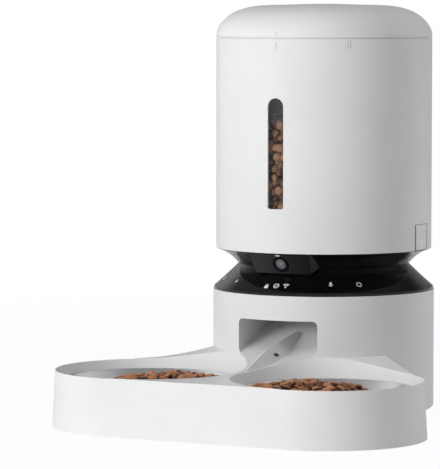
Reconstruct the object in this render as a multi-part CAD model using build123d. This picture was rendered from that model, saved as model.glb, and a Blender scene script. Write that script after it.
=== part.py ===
"""Double-bowl automatic pet feeder: a food hopper on a powered base, with a two-bowl tray in front.

Millimetres, +Z up. The tower's axis is the Z axis, the floor is z = 0 and the front faces -Y.
The base holds the batteries, motor, dosing wheel, chute, camera and electronics. The hopper lifts
off its collar, the lid turns and lifts, and the tray pulls away from the base with its two bowls.
"""

import os
from math import atan2, cos, degrees, hypot, pi, radians, sin, sqrt, tan

from build123d import *

# Base: the white drum that stands on the floor
BASE_RADIUS = 100.5
BASE_WALL = 2.6
BASE_TOP = 112.7
FOOT_HEIGHT = 5.0
FOOT_WIDTH = 11.0
FOOT_INSET = 12.0
PLATE_THICKNESS = 3.0
EDGE_ROUND = 1.5
LEDGE_WIDTH = 10.0
LEDGE_HEIGHT = 4.0
DECK_DROP = 5.7
DECK_SCREW_ANGLES = (50, 130, 230, 310)
PLATE_SCREW_ANGLES = (40, 120, 240, 320)

# Waist: the two glossy cones between base and hopper
WAIST_RADIUS = 77.5
CONE_RISE = 22.8
COLLAR_RISE = 14.6
WAIST_BOW = 0.8
CONE_WALL = 2.4
CONE_RIM = 2.2
COLLAR_FLANGE = 2.4
COLLAR_WEB = 9.7

# Hopper
HOPPER_RADIUS = 98.0
HOPPER_WALL = 2.4
HOPPER_HEIGHT = 189.9
BIN_WALL = 1.8
BIN_GAP = 1.0
BIN_RIM_DROP = 2.0
FUNNEL_FOOT = 7.9
FUNNEL_RISE = 28.0
OUTLET_RADIUS = 50.0
FLOOR_RING = 2.6

# Window slot in the front of the hopper
WINDOW_WIDTH = 15.3
WINDOW_SILL = 39.2
WINDOW_LENGTH = 98.0
WINDOW_CORNER = 2.0
PANE_FLANGE = 2.0
PANE_FLANGE_DEPTH = 0.8

# Lid
LID_RISE = 31.0
LID_STEP = 2.5
LID_WALL = 2.4
LID_GAP = 0.4
DOME_SHOULDER = ((0.953, 0.448), (0.847, 0.732), (0.704, 0.897), (0.418, 0.969))
PLUG_GAP = 2.8
PLUG_DEPTH = 14.0
PLUG_WALL = 1.8
PLUG_PLATE = 2.4
SEAL_THICKNESS = 1.5
LUG_COUNT = 3
LUG_ANGLE = 16.0
LUG_REACH = 1.7
LUG_HEIGHT = 3.0
HOOK_ANGLE = 44.0
HOOK_REACH = 1.9
HOOK_HEIGHT = 2.6
LOCK_TURN = 40.0
LID_BOSS_RADIUS = 4.0
LID_BOSS_SHARE = 0.62
LID_SCREW_LENGTH = 8.0

# Desiccant cup under the lid
DESICCANT_RADIUS = 30.0
DESICCANT_DEPTH = 16.0
DESICCANT_WALL = 1.6
DESICCANT_CAP = 2.4

# Release tabs at both sides of the hopper
TAB_HALF_ANGLE = 7.8
TAB_HEIGHT = 23.5
TAB_GAP = 0.45
TAB_PIN_RADIUS = 0.9
TAB_PIN_DROP = 3.2
TAB_ARM = 3.0
HOOK_INSET = 14.6
HOOK_STEM = 2.6
HOOK_STEM_WIDTH = 14.0
HOOK_LIP = 1.7
HOOK_LIP_HEIGHT = 2.2
HOOK_CLEARANCE = 1.2
TAB_SPRING_RISE = 12.9
TAB_SPRING_RADIUS = 2.6
TAB_SPRING_WIRE = 0.35

# Chute mouth and ramp
MOUTH_HALF_WIDTH = 39.0
MOUTH_STEP = 0.1
MOUTH_HEAD = 13.2
MOUTH_CORNER = 4.5
CHUTE_WALL = 2.0
RAMP_SLOPE = 0.386
THROAT_LAP = 2.0
THROAT_GAP = 0.2
SENSOR_INSET = 34.5
SENSOR_DROP = 8.8

# Dosing wheel and drive
CUP_RADIUS = 60.0
CUP_WALL = 2.2
CUP_FLOOR = 2.6
CUP_HEIGHT = 33.0
OUTLET_HALF_ANGLE = 38.0
OUTLET_INNER = 29.0
VANE_COUNT = 6
VANE_THICKNESS = 2.4
VANE_GAP = 1.0
HUB_RADIUS = 13.0
STIRRER_HEIGHT = 9.0
SHAFT_RADIUS = 4.0
SHAFT_FIT = 0.06
BUSH_WALL = 3.0
GEAR_MODULE = 1.0
GEAR_TEETH = 42
PINION_TEETH = 14
GEAR_THICKNESS = 7.0
GEAR_DROP = 2.0
TOOTH_HEIGHT = 0.9
TOOTH_DEPTH = 1.15
TOOTH_TIP_SHARE = 0.13
TOOTH_FOOT_SHARE = 0.30
MOTOR_RADIUS = 12.0
MOTOR_LENGTH = 38.0
MOTOR_SHAFT = 2.0
MOTOR_GAP = 2.0
BRACKET_PLATE = 2.0
BRACKET_FRONT = 6.0
BRACKET_EAR = 8.0

# Camera block at the front of the waist
CAMERA_TOP_HALF = 29.6
CAMERA_BOTTOM_HALF = 27.0
CAMERA_GAP = 1.5
CAMERA_HEIGHT = 17.4
CAMERA_INSET = 7.0
CAMERA_LEAN = 8.4
CAMERA_CLEARANCE = 0.2
CAMERA_NOTCH = 6.0
CAMERA_WALL = 2.2
CAMERA_DEPTH = 17.0
CAMERA_FLARE = 5.0
CAMERA_PANEL = 1.2
LENS_RING_RADIUS = 7.5
LENS_RADIUS = 5.5
LENS_RING_PROUD = 0.9
LENS_STATUS_GAP = 0.16
STATUS_LENGTH = 4.6
STATUS_WIDTH = 1.7
STATUS_EDGE = 0.3
BARREL_LENGTH = 5.0
CAMERA_BOARD_SIZE = (26.0, 10.5)
CAMERA_BOARD_GAP = 0.611

# Batteries at the rear of the base
CELL_RADIUS = 16.6
CELL_LENGTH = 61.5
CELL_GAP = 1.2
CELL_BACK_GAP = 19.3
CELL_STUD_RADIUS = 4.7
CELL_STUD = 1.5
CELL_COUNT = 3
BOX_WALL = 1.8
BOX_CLEARANCE = 0.8
SPRING_ROOM = 3.0
CONTACT_GAP = 1.2
DOOR_LAP = 1.2
DOOR_SILL = 5.0
DOOR_CLIP = 1.7
DOOR_CLIP_X = (22.0, 34.0)
DOOR_GAP = 0.4

# Circuit boards beside the chute
BOARD_Y = 20.0
BOARD_INNER = 36.0
BOARD_EDGE_GAP = 5.9
BOARD_BOTTOM = 20.0
BOARD_POST = 3.0
BOARD_HEIGHT = 64.0
BOARD_THICKNESS = 1.6

# Rear fittings
REAR_ANGLE = 230.0
SOCKET_HEIGHT = 27.0
SOCKET_RADIUS = 4.6
SOCKET_PIN = 1.0
RESET_HEIGHT = 47.0
RESET_RADIUS = 3.2
RESET_TRAVEL = 1.0
RESET_SPRING_RADIUS = 3.0
RESET_SPRING_WIRE = 0.3
SPEAKER_RADIUS = 11.5
SPEAKER_GAP = 1.0
GRILLE_EDGE = 2.5
GRILLE_HOLE = 1.1
GRILLE_PITCH = 3.6

# Tray
TRAY_RADIUS = 85.8
TRAY_SPREAD = 0.6
TRAY_REACH = 70.2
TRAY_DRAFT = 2.9
TRAY_RIM = 50.8
TRAY_WALL = 2.6
TRAY_SKIRT = 0.8
TRAY_CLEARANCE = 0.5
DECK_RISE = 9.0
TRAY_DECK_REACH = 64.0
TRAY_DECK_SAG = 2.9
TRAY_TIP_ANGLE = 59.1
TRAY_END_ANGLE = 50.6
TRAY_SIDE_BOW = 3.2
BOWL_MARGIN = 8.8
BOWL_SINK = 8.1
RECESS_SLOPE = 1.35
BOWL_WALL = 0.8
BOWL_LIP = 4.2
BOWL_DEPTH = 33.0
BOWL_FLARE = 11.8
BOWL_CORNER = 6.0
BOWL_FIT = 0.6
WELL_FLOOR = 2.2
WELL_GAP = 1.0
TRAY_FOOT_RADIUS = 6.0
TONGUE_X = 30.0
TONGUE_WIDTH = 12.0
TONGUE_HEIGHT = 6.0
TONGUE_BOTTOM = 22.0
TONGUE_REACH = 12.0

# Splitter ridge between the bowls
CREST_BACK_INSET = 44.5
CREST_BACK_RISE = 17.9
CREST_JOIN_REACH = 17.8
CREST_JOIN_RISE = 5.6
CREST_FRONT_SINK = 2.8
CREST_HALF = 0.8
FLANK_SLOPE = 1.1
SPLITTER_GAP = 0.15
PEG_RADIUS = 1.5
PEG_LENGTH = 4.5
PEG_REACH = (3.9, 12.5)
FIN_HOLE_RADIUS = 1.1
FIN_HOLE_REACH = 7.4
FIN_HOLE_RISE = 1.6

# Screws and small clearances
SCREW_RADIUS = 1.5
SCREW_HEAD = 2.9
SCREW_HEAD_HEIGHT = 2.0
SCREW_LENGTH = 6.0
SCREW_SLOT = 0.8
SCREW_GAP = 0.1
LOOSE = 0.3

# Heights, stacked from the floor up
PLATE_TOP = FOOT_HEIGHT + PLATE_THICKNESS
DECK_TOP = BASE_TOP - DECK_DROP
DECK_BOTTOM = DECK_TOP - PLATE_THICKNESS
WAIST_HEIGHT = BASE_TOP + CONE_RISE
HOPPER_BOTTOM = WAIST_HEIGHT + COLLAR_RISE
HOPPER_TOP = HOPPER_BOTTOM + HOPPER_HEIGHT
BIN_TOP = HOPPER_TOP - BIN_RIM_DROP
FUNNEL_BOTTOM = HOPPER_BOTTOM + FUNNEL_FOOT
FUNNEL_TOP = FUNNEL_BOTTOM + FUNNEL_RISE
WINDOW_BOTTOM = HOPPER_BOTTOM + WINDOW_SILL
WINDOW_TOP = WINDOW_BOTTOM + WINDOW_LENGTH
TAB_TOP = HOPPER_BOTTOM + TAB_HEIGHT
CAMERA_TOP = HOPPER_BOTTOM - CAMERA_GAP
CAMERA_BOTTOM = CAMERA_TOP - CAMERA_HEIGHT
CUP_BASE = DECK_TOP
CUP_TOP = CUP_BASE + CUP_HEIGHT
GEAR_TOP = DECK_BOTTOM - GEAR_DROP
GEAR_BOTTOM = GEAR_TOP - GEAR_THICKNESS
BRACKET_TOP = GEAR_BOTTOM - GEAR_DROP
TRAY_DECK = TRAY_RIM + DECK_RISE
BOWL_RIM_HEIGHT = TRAY_RIM - BOWL_SINK
BOWL_BASE = BOWL_RIM_HEIGHT - BOWL_DEPTH
MOUTH_BOTTOM = TRAY_DECK + MOUTH_STEP
MOUTH_TOP = DECK_BOTTOM - MOUTH_HEAD
SPEAKER_HEIGHT = DECK_BOTTOM - SPEAKER_GAP - SPEAKER_RADIUS
CELL_BOTTOM = PLATE_TOP + BOX_WALL + SPRING_ROOM
CELL_TOP = CELL_BOTTOM + CELL_LENGTH
BOX_TOP = CELL_TOP + CONTACT_GAP
DOOR_BOTTOM = PLATE_TOP + DOOR_SILL
DOOR_TOP = BOX_TOP + BOX_WALL + DOOR_CLIP
CREST_BACK = TRAY_DECK + CREST_BACK_RISE
CREST_JOIN = TRAY_DECK + CREST_JOIN_RISE
CREST_FRONT = TRAY_RIM - CREST_FRONT_SINK

# Plan sizes, nested from the outside in
BASE_INNER = BASE_RADIUS - BASE_WALL
HOPPER_INNER = HOPPER_RADIUS - HOPPER_WALL
BIN_OUTER = HOPPER_INNER - BIN_GAP
BIN_INNER = BIN_OUTER - BIN_WALL
PLUG_RADIUS = BIN_INNER - PLUG_GAP
HOOK_STEM_OUTER = HOPPER_INNER - HOOK_INSET
HOOK_SLOT_INNER = HOOK_STEM_OUTER - HOOK_STEM - HOOK_LIP - 1.0
COLLAR_BORE = HOOK_SLOT_INNER - COLLAR_WEB
CUP_INNER = CUP_RADIUS - CUP_WALL
BUSH_RADIUS = SHAFT_RADIUS + BUSH_WALL
THROAT_FRONT = CUP_INNER + THROAT_GAP
CHUTE_BACK = OUTLET_INNER - THROAT_LAP
MOUTH_Y = -sqrt(BASE_RADIUS**2 - MOUTH_HALF_WIDTH**2)
CAMERA_TOP_FRONT = HOPPER_RADIUS - CAMERA_INSET
CAMERA_BOTTOM_FRONT = CAMERA_TOP_FRONT - CAMERA_LEAN
CELL_PITCH = 2 * CELL_RADIUS + CELL_GAP
CELL_Y = BASE_INNER - CELL_BACK_GAP - CELL_RADIUS
BOX_HALF = (CELL_COUNT - 1) / 2 * CELL_PITCH + CELL_RADIUS + BOX_CLEARANCE
BOX_FRONT = CELL_Y - CELL_RADIUS - BOX_CLEARANCE
BOX_BACK = CELL_Y + CELL_RADIUS
DOOR_HALF_WIDTH = BOX_HALF + DOOR_LAP
BOARD_OUTER = BASE_INNER - LEDGE_WIDTH - BOARD_EDGE_GAP
TRAY_CENTRE_X = TRAY_RADIUS + TRAY_SPREAD
TRAY_CENTRE_Y = BASE_RADIUS + TRAY_REACH
BOWL_RIM_RADIUS = TRAY_RADIUS - BOWL_MARGIN
BOWL_INNER_RADIUS = BOWL_RIM_RADIUS - BOWL_LIP
BOWL_FLOOR_RADIUS = BOWL_INNER_RADIUS - BOWL_FLARE
WELL_RADIUS = BOWL_INNER_RADIUS + BOWL_WALL + BOWL_FIT
CREST_BACK_Y = BASE_RADIUS - CREST_BACK_INSET
CREST_JOIN_Y = BASE_RADIUS + CREST_JOIN_REACH
CREST_FRONT_Y = BASE_RADIUS + TRAY_DECK_REACH
PEG_Y = [BASE_RADIUS + reach for reach in PEG_REACH]

# The motor stands behind the wheel's gear, and swings round it where the batteries come nearer
GEAR_RADIUS = GEAR_MODULE * GEAR_TEETH / 2
PINION_RADIUS = GEAR_MODULE * PINION_TEETH / 2
GEAR_DISTANCE = GEAR_RADIUS + PINION_RADIUS
MOTOR_Y = min(GEAR_DISTANCE, BOX_FRONT - BOX_WALL - MOTOR_GAP - MOTOR_RADIUS)
MOTOR_X = sqrt(GEAR_DISTANCE**2 - MOTOR_Y**2)
MOTOR_TURN = degrees(atan2(MOTOR_X, MOTOR_Y))

os.makedirs("parts", exist_ok=True)


def cylinder(radius, bottom, top, x=0.0, y=0.0):
    """A vertical cylinder between two heights."""
    return Pos(x, y, (bottom + top) / 2) * Cylinder(radius, top - bottom)


def ring(outer, inner, bottom, top, x=0.0, y=0.0):
    """A vertical tube between two heights."""
    return cylinder(outer, bottom, top, x, y) - cylinder(inner, bottom - 1, top + 1, x, y)


def block(x0, x1, y0, y1, z0, z1):
    """A box from its two corners."""
    return Pos((x0 + x1) / 2, (y0 + y1) / 2, (z0 + z1) / 2) * Box(x1 - x0, y1 - y0, z1 - z0)


def spin(points):
    """A solid of revolution about the Z axis from (radius, height) corners."""
    return revolve(Plane.XZ * make_face(Polyline([*points, points[0]])), Axis.Z)


def spin_wire(*edges):
    """A solid of revolution about the Z axis from edges drawn as (radius, height)."""
    return revolve(Plane.XZ * make_face(Curve() + [*edges]), Axis.Z)


def side_prism(points, half_width):
    """A prism along X from (y, z) corners."""
    face = make_face(Polyline([*points, points[0]]))
    return extrude(Plane.YZ * face, half_width, both=True)


def sector(outer, bottom, top, middle, half_angle):
    """A pie slice, angles in degrees from the front, turning toward +X."""
    angles = [radians(middle + half_angle * k / 4) for k in range(-4, 5)]
    reach = outer / cos(radians(half_angle / 4))
    corners = [(0, 0)] + [(reach * sin(a), -reach * cos(a)) for a in angles]
    wedge = Pos(0, 0, bottom) * extrude(make_face(Polyline([*corners, corners[0]])), top - bottom)
    return wedge & cylinder(outer, bottom, top)


def around(angle, radius):
    """The plan point at an angle from the front, turning toward +X."""
    return radius * sin(radians(angle)), -radius * cos(radians(angle))


def radial(angle, radius, height):
    """A placement whose +Z axis points away from the tower at that angle."""
    x, y = around(angle, radius)
    return Location(Plane(origin=(x, y, height), x_dir=(cos(radians(angle)), sin(radians(angle)), 0),
                          z_dir=(sin(radians(angle)), -cos(radians(angle)), 0)))


def gear(teeth, bore, bottom, top, turn):
    """A spur gear with straight-sided teeth, a tooth centred at the given angle from +X."""
    pitch = GEAR_MODULE * teeth / 2
    root, tip = pitch - TOOTH_DEPTH * GEAR_MODULE, pitch + TOOTH_HEIGHT * GEAR_MODULE
    step = 2 * pi / teeth
    tooth = ((root, -TOOTH_FOOT_SHARE), (tip, -TOOTH_TIP_SHARE),
             (tip, TOOTH_TIP_SHARE), (root, TOOTH_FOOT_SHARE))
    outline = []
    for k in range(teeth):
        for radius, share in tooth:
            angle = radians(turn) + (k + share) * step
            outline.append((radius * cos(angle), radius * sin(angle)))
    body = Pos(0, 0, bottom) * extrude(make_face(Polyline([*outline, outline[0]])), top - bottom)
    return body - cylinder(bore, bottom - 1, top + 1)


def screw(x, y, top, length=SCREW_LENGTH, down=True):
    """A pan-head screw with its head against a face at the given height."""
    sign = -1 if down else 1
    z0, z1 = sorted((top, top + sign * length))
    h0, h1 = sorted((top, top - sign * SCREW_HEAD_HEIGHT))
    slot = block(x - SCREW_HEAD, x + SCREW_HEAD, y - SCREW_SLOT / 2, y + SCREW_SLOT / 2, h0, h1)
    slot = Pos(0, 0, -sign * SCREW_HEAD_HEIGHT * 0.6) * slot
    return cylinder(SCREW_RADIUS, z0, z1, x, y) + (cylinder(SCREW_HEAD, h0, h1, x, y) - slot)


def screw_hole(x, y, bottom, top):
    """A hole that a screw's shank fills with a little clearance."""
    return cylinder(SCREW_RADIUS + SCREW_GAP, bottom, top, x, y)


def coil(radius, wire, length, turns):
    """A compression spring standing on the XY plane."""
    path = Helix(pitch=(length - 2 * wire) / turns, height=length - 2 * wire, radius=radius)
    start = Plane(origin=path @ 0, z_dir=path % 0)
    return Pos(0, 0, wire) * sweep(start * Circle(wire), path=path)


def export(node, solid):
    """Write one piece under its node's name."""
    export_step(Compound(children=list(solid.solids())) if len(solid.solids()) > 1 else solid.solids()[0],
                f"parts/{node}.step")


# Base shell: wall, bottom lip, ledge for the deck plate and every opening in it
shell = spin([
    (BASE_RADIUS - EDGE_ROUND, FOOT_HEIGHT),
    (BASE_RADIUS, FOOT_HEIGHT + EDGE_ROUND),
    (BASE_RADIUS, BASE_TOP),
    (BASE_INNER, BASE_TOP),
    (BASE_INNER, DECK_BOTTOM),
    (BASE_INNER - LEDGE_WIDTH, DECK_BOTTOM),
    (BASE_INNER - LEDGE_WIDTH, DECK_BOTTOM - LEDGE_HEIGHT),
    (BASE_INNER, DECK_BOTTOM - LEDGE_HEIGHT - LEDGE_WIDTH),
    (BASE_INNER, PLATE_TOP + LEDGE_WIDTH),
    (BASE_INNER - LEDGE_WIDTH, PLATE_TOP + LEDGE_WIDTH),
    (BASE_INNER - LEDGE_WIDTH, PLATE_TOP),
    (BASE_INNER, PLATE_TOP),
    (BASE_INNER, FOOT_HEIGHT),
])


def mouth(margin, y0, y1):
    """The chute's rounded mouth as a prism along Y, grown by a margin."""
    width, height = 2 * (MOUTH_HALF_WIDTH + margin), MOUTH_TOP - MOUTH_BOTTOM + 2 * margin
    face = Pos(0, (MOUTH_TOP + MOUTH_BOTTOM) / 2) * RectangleRounded(width, height, MOUTH_CORNER + margin)
    return Pos(0, y1, 0) * extrude(Plane.XZ * face, y1 - y0)


def ramp(y):
    """Height of the chute's ramp at a given y."""
    return MOUTH_BOTTOM + RAMP_SLOPE * max(0.0, y - MOUTH_Y)


def duct(wall, front):
    """The chute's side outline, grown by a wall."""
    return [
        (front, ramp(front) - wall),
        (MOUTH_Y, ramp(MOUTH_Y) - wall),
        (-CHUTE_BACK + wall, ramp(-CHUTE_BACK) - wall),
        (-CHUTE_BACK + wall, DECK_BOTTOM),
        (-THROAT_FRONT - wall, DECK_BOTTOM),
        (-THROAT_FRONT - wall, DECK_BOTTOM - 2),
        (-BASE_INNER + CHUTE_WALL, MOUTH_TOP + wall),
        (front, MOUTH_TOP + wall),
    ]


shell -= mouth(0, -BASE_RADIUS - 5, -BASE_RADIUS / 2)
inside = cylinder(BASE_INNER, 0, BASE_TOP)
chute_room = CHUTE_WALL + LOOSE
shell -= side_prism(duct(chute_room, -BASE_RADIUS - 5), MOUTH_HALF_WIDTH + chute_room) & inside
box_reach = BOX_HALF + BOX_WALL + LOOSE
shell -= block(-box_reach, box_reach, BOX_FRONT - BOX_WALL - LOOSE, BASE_RADIUS,
               PLATE_TOP - 1, BOX_TOP + BOX_WALL) & inside
speaker_back = sqrt(BASE_INNER**2 - SPEAKER_RADIUS**2) - 3.0
speaker_room = Pos(0, speaker_back, SPEAKER_HEIGHT) * Rot(90, 0, 0) * Cylinder(SPEAKER_RADIUS + LOOSE, 20)
shell -= speaker_room & inside
for side in (-1, 1):
    tongue_slot = block(
        side * TONGUE_X - TONGUE_WIDTH / 2 - LOOSE, side * TONGUE_X + TONGUE_WIDTH / 2 + LOOSE,
        -BASE_RADIUS - 5, -BASE_RADIUS / 2,
        TONGUE_BOTTOM - LOOSE, TONGUE_BOTTOM + TONGUE_HEIGHT + LOOSE,
    )
    shell -= tongue_slot
door_hole = block(-DOOR_HALF_WIDTH - DOOR_GAP, DOOR_HALF_WIDTH + DOOR_GAP, BASE_RADIUS / 2, BASE_RADIUS + 5,
                  DOOR_BOTTOM - DOOR_GAP, DOOR_TOP + DOOR_GAP)
shell -= door_hole
shell -= radial(REAR_ANGLE, BASE_RADIUS, SOCKET_HEIGHT) * Cylinder(SOCKET_RADIUS + LOOSE, 30)
shell -= radial(REAR_ANGLE, BASE_RADIUS, RESET_HEIGHT) * Cylinder(RESET_RADIUS + LOOSE, 30)
for row in range(-2, 3):
    for column in range(-2, 3):
        if hypot(row, column) * GRILLE_PITCH < SPEAKER_RADIUS - GRILLE_EDGE:
            hole = Pos(column * GRILLE_PITCH, BASE_RADIUS, SPEAKER_HEIGHT + row * GRILLE_PITCH)
            shell -= hole * Rot(90, 0, 0) * Cylinder(GRILLE_HOLE, 4 * BASE_WALL)
deck_screw_radius = BASE_INNER - LOOSE - CONE_WALL - SCREW_HEAD - LOOSE
deck_screws = [around(angle, deck_screw_radius) for angle in DECK_SCREW_ANGLES]
plate_screws = [around(angle, BASE_INNER - LEDGE_WIDTH / 2) for angle in PLATE_SCREW_ANGLES]
for x, y in deck_screws:
    shell -= screw_hole(x, y, DECK_BOTTOM - LEDGE_HEIGHT - 1, DECK_BOTTOM + 1)
for x, y in plate_screws:
    shell -= screw_hole(x, y, PLATE_TOP - 1, PLATE_TOP + LEDGE_WIDTH + 1)
export("base_shell", shell)

# Bottom plate with its screws and the anti-slip ring that the tower stands on
foot_outer = BASE_RADIUS - FOOT_INSET
foot_inner = foot_outer - FOOT_WIDTH
foot_seat = FOOT_HEIGHT + 1
bottom_plate = cylinder(BASE_INNER - SCREW_GAP, FOOT_HEIGHT, PLATE_TOP)
bottom_plate -= ring(foot_outer, foot_inner, FOOT_HEIGHT - 1, foot_seat)
for x, y in plate_screws:
    bottom_plate -= screw_hole(x, y, FOOT_HEIGHT - 1, PLATE_TOP + 1)
    bottom_plate -= cylinder(SCREW_HEAD + SCREW_GAP, FOOT_HEIGHT - 1, FOOT_HEIGHT + SCREW_HEAD_HEIGHT, x, y)
post_inset = BOARD_POST + 1
post_places = (BOARD_INNER + post_inset, BOARD_OUTER - post_inset)
for x in (*post_places, *(-x for x in post_places)):
    post = block(x - BOARD_POST, x + BOARD_POST, BOARD_Y - post_inset, BOARD_Y + BOARD_THICKNESS + post_inset,
                 PLATE_TOP, BOARD_BOTTOM + 2 * BOARD_POST)
    groove = block(x - post_inset, x + post_inset, BOARD_Y, BOARD_Y + BOARD_THICKNESS,
                   BOARD_BOTTOM, BOARD_BOTTOM + 2 * BOARD_POST + 1)
    bottom_plate += post - groove
export("bottom_plate", bottom_plate)
plate_screw_length = PLATE_THICKNESS + LEDGE_WIDTH - SCREW_HEAD_HEIGHT
export("base_screws", Compound(children=[
    screw(x, y, FOOT_HEIGHT + SCREW_HEAD_HEIGHT, plate_screw_length, down=False) for x, y in plate_screws
]))
foot_ring = ring(foot_outer, foot_inner, 0, foot_seat)
export("foot_ring", foot_ring)

# Deck plate: carries the dosing cup above, and the chute and drive below
deck = cylinder(BASE_INNER - SCREW_GAP, DECK_BOTTOM, DECK_TOP)
throat = block(-MOUTH_HALF_WIDTH, MOUTH_HALF_WIDTH, -THROAT_FRONT, -CHUTE_BACK, DECK_BOTTOM - 1, DECK_TOP + 1)
deck -= throat
deck -= cylinder(BUSH_RADIUS, DECK_BOTTOM - 1, DECK_TOP + 1)
for x, y in deck_screws:
    deck -= screw_hole(x, y, DECK_BOTTOM - 1, DECK_TOP + 1)

# Control ring: the lower cone, its foot standing on the deck plate inside the base wall
rim_radius = BASE_RADIUS - 0.7
cone_middle = ((rim_radius + WAIST_RADIUS) / 2 - WAIST_BOW,
               (BASE_TOP + CONE_RIM + WAIST_HEIGHT) / 2 + WAIST_BOW / 2)
control_ring = spin_wire(
    Polyline((WAIST_RADIUS - CONE_WALL, WAIST_HEIGHT), (WAIST_RADIUS, WAIST_HEIGHT)),
    ThreePointArc((WAIST_RADIUS, WAIST_HEIGHT), cone_middle, (rim_radius, BASE_TOP + CONE_RIM)),
    Polyline((rim_radius, BASE_TOP + CONE_RIM), (rim_radius - 0.3, BASE_TOP), (BASE_INNER - LOOSE, BASE_TOP),
             (BASE_INNER - LOOSE, DECK_TOP), (BASE_INNER - LOOSE - CONE_WALL, DECK_TOP),
             (BASE_INNER - LOOSE - CONE_WALL, BASE_TOP)),
    ThreePointArc((BASE_INNER - LOOSE - CONE_WALL, BASE_TOP),
                  (cone_middle[0] - CONE_WALL, cone_middle[1] - CONE_WALL),
                  (WAIST_RADIUS - CONE_WALL, WAIST_HEIGHT)),
)

# Collar: the upper cone with the flange that the hopper stands on
flare = HOPPER_RADIUS - 0.8
collar_middle = ((WAIST_RADIUS + flare) / 2 - 1.6, (WAIST_HEIGHT + HOPPER_BOTTOM) / 2 + 0.9)
collar = spin_wire(
    Polyline((WAIST_RADIUS - CONE_WALL, WAIST_HEIGHT), (WAIST_RADIUS, WAIST_HEIGHT)),
    ThreePointArc((WAIST_RADIUS, WAIST_HEIGHT), collar_middle, (flare, HOPPER_BOTTOM - 0.6)),
    Polyline((flare, HOPPER_BOTTOM - 0.6), (flare, HOPPER_BOTTOM), (COLLAR_BORE, HOPPER_BOTTOM),
             (COLLAR_BORE, HOPPER_BOTTOM - COLLAR_FLANGE),
             (flare - 3 * CONE_WALL, HOPPER_BOTTOM - COLLAR_FLANGE)),
    ThreePointArc((flare - 3 * CONE_WALL, HOPPER_BOTTOM - COLLAR_FLANGE),
                  (collar_middle[0] - CONE_WALL, collar_middle[1] - 0.2),
                  (WAIST_RADIUS - CONE_WALL, WAIST_HEIGHT)),
)

# Camera block: a tilted front panel on a housing that fills the gap in both cones
camera_drop = CAMERA_TOP - CAMERA_BOTTOM
camera_tilt = degrees(atan2(CAMERA_TOP_FRONT - CAMERA_BOTTOM_FRONT, camera_drop))
camera_height = (CAMERA_TOP + CAMERA_BOTTOM) / 2
camera_front = (CAMERA_TOP_FRONT + CAMERA_BOTTOM_FRONT) / 2
camera_face = Plane(origin=(0, -camera_front, camera_height), x_dir=(1, 0, 0),
                    z_dir=(0, -cos(radians(camera_tilt)), -sin(radians(camera_tilt))))
camera_half = hypot(camera_drop, CAMERA_TOP_FRONT - CAMERA_BOTTOM_FRONT) / 2


def camera_outline(margin, flare_out=0.0):
    """The panel's trapezoid on its own plane."""
    top, bottom, half = CAMERA_TOP_HALF + margin, CAMERA_BOTTOM_HALF + margin, camera_half + margin
    top, bottom = top + flare_out, bottom + flare_out
    return make_face(Polyline((-bottom, -half), (bottom, -half), (top, half), (-top, half), (-bottom, -half)))


def camera_block(margin):
    """The housing's outside, flaring toward the back, grown by a margin."""
    front, back = camera_face.offset(margin), camera_face.offset(-CAMERA_DEPTH)
    solid = loft([front * camera_outline(margin), back * camera_outline(margin, CAMERA_FLARE)])
    return solid & block(-HOPPER_RADIUS, HOPPER_RADIUS, -HOPPER_RADIUS - CAMERA_DEPTH, 0,
                         BASE_TOP, CAMERA_TOP + margin)


camera_room = camera_block(CAMERA_CLEARANCE)
control_ring -= camera_room
notch_half = CAMERA_TOP_HALF + 2
notch = block(-notch_half, notch_half, -HOPPER_RADIUS - CAMERA_DEPTH, -CAMERA_TOP_FRONT + CAMERA_NOTCH,
              CAMERA_BOTTOM, CAMERA_TOP + CAMERA_CLEARANCE)
collar -= camera_room + notch
housing = camera_block(0)
housing -= camera_face.offset(-CAMERA_PANEL) * extrude(camera_outline(0.5), CAMERA_PANEL + 2)
cavity = loft([
    camera_face.offset(-CAMERA_PANEL - 1.6) * camera_outline(-CAMERA_WALL),
    camera_face.offset(-CAMERA_DEPTH - 2) * camera_outline(-CAMERA_WALL, CAMERA_FLARE),
])
housing -= cavity
lens_drop = min(0.0, camera_half - STATUS_EDGE - STATUS_WIDTH - LENS_STATUS_GAP - LENS_RING_RADIUS)
lens_place = camera_face * Pos(0, lens_drop, 0)
lens_hole = lens_place * Cylinder(LENS_RADIUS + 1.0, 2 * CAMERA_DEPTH)
housing -= lens_hole
export("camera_housing", housing)
status_place = camera_face * Pos(-1.6, camera_half - STATUS_WIDTH / 2 - STATUS_EDGE, 0)
panel = camera_face.offset(-CAMERA_PANEL) * extrude(camera_outline(-0.1), CAMERA_PANEL)
panel -= lens_hole
status_slot = status_place * extrude(SlotOverall(STATUS_LENGTH, STATUS_WIDTH), CAMERA_PANEL, both=True)
panel -= status_slot
panel &= block(-HOPPER_RADIUS, HOPPER_RADIUS, -HOPPER_RADIUS - CAMERA_DEPTH, 0, BASE_TOP, CAMERA_TOP)
export("camera_panel", panel)
status_light = status_place * Pos(0, 0, -CAMERA_PANEL) * extrude(
    SlotOverall(STATUS_LENGTH - 0.1, STATUS_WIDTH - 0.1), CAMERA_PANEL + 0.1)
export("status_light", status_light)
bezel = Cylinder(LENS_RING_RADIUS, LENS_RING_PROUD) - Cylinder(LENS_RADIUS, 3)
export("lens_ring", lens_place * Pos(0, 0, LENS_RING_PROUD / 2) * bezel)
barrel_top = -0.8
glass = Pos(0, 0, barrel_top) * Cylinder(LENS_RADIUS - 0.05, 2.0)
export("camera_lens", lens_place * glass)
barrel_back = barrel_top - 1.0 - BARREL_LENGTH
barrel = Pos(0, 0, barrel_back + BARREL_LENGTH / 2) * Cylinder(LENS_RADIUS - 0.4, BARREL_LENGTH)
barrel -= Pos(0, 0, barrel_top - 1.0) * Cylinder(3.2, 3)
export("camera_barrel", lens_place * barrel)
board_drop = camera_half - CAMERA_WALL - CAMERA_BOARD_GAP - CAMERA_BOARD_SIZE[1] / 2
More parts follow.
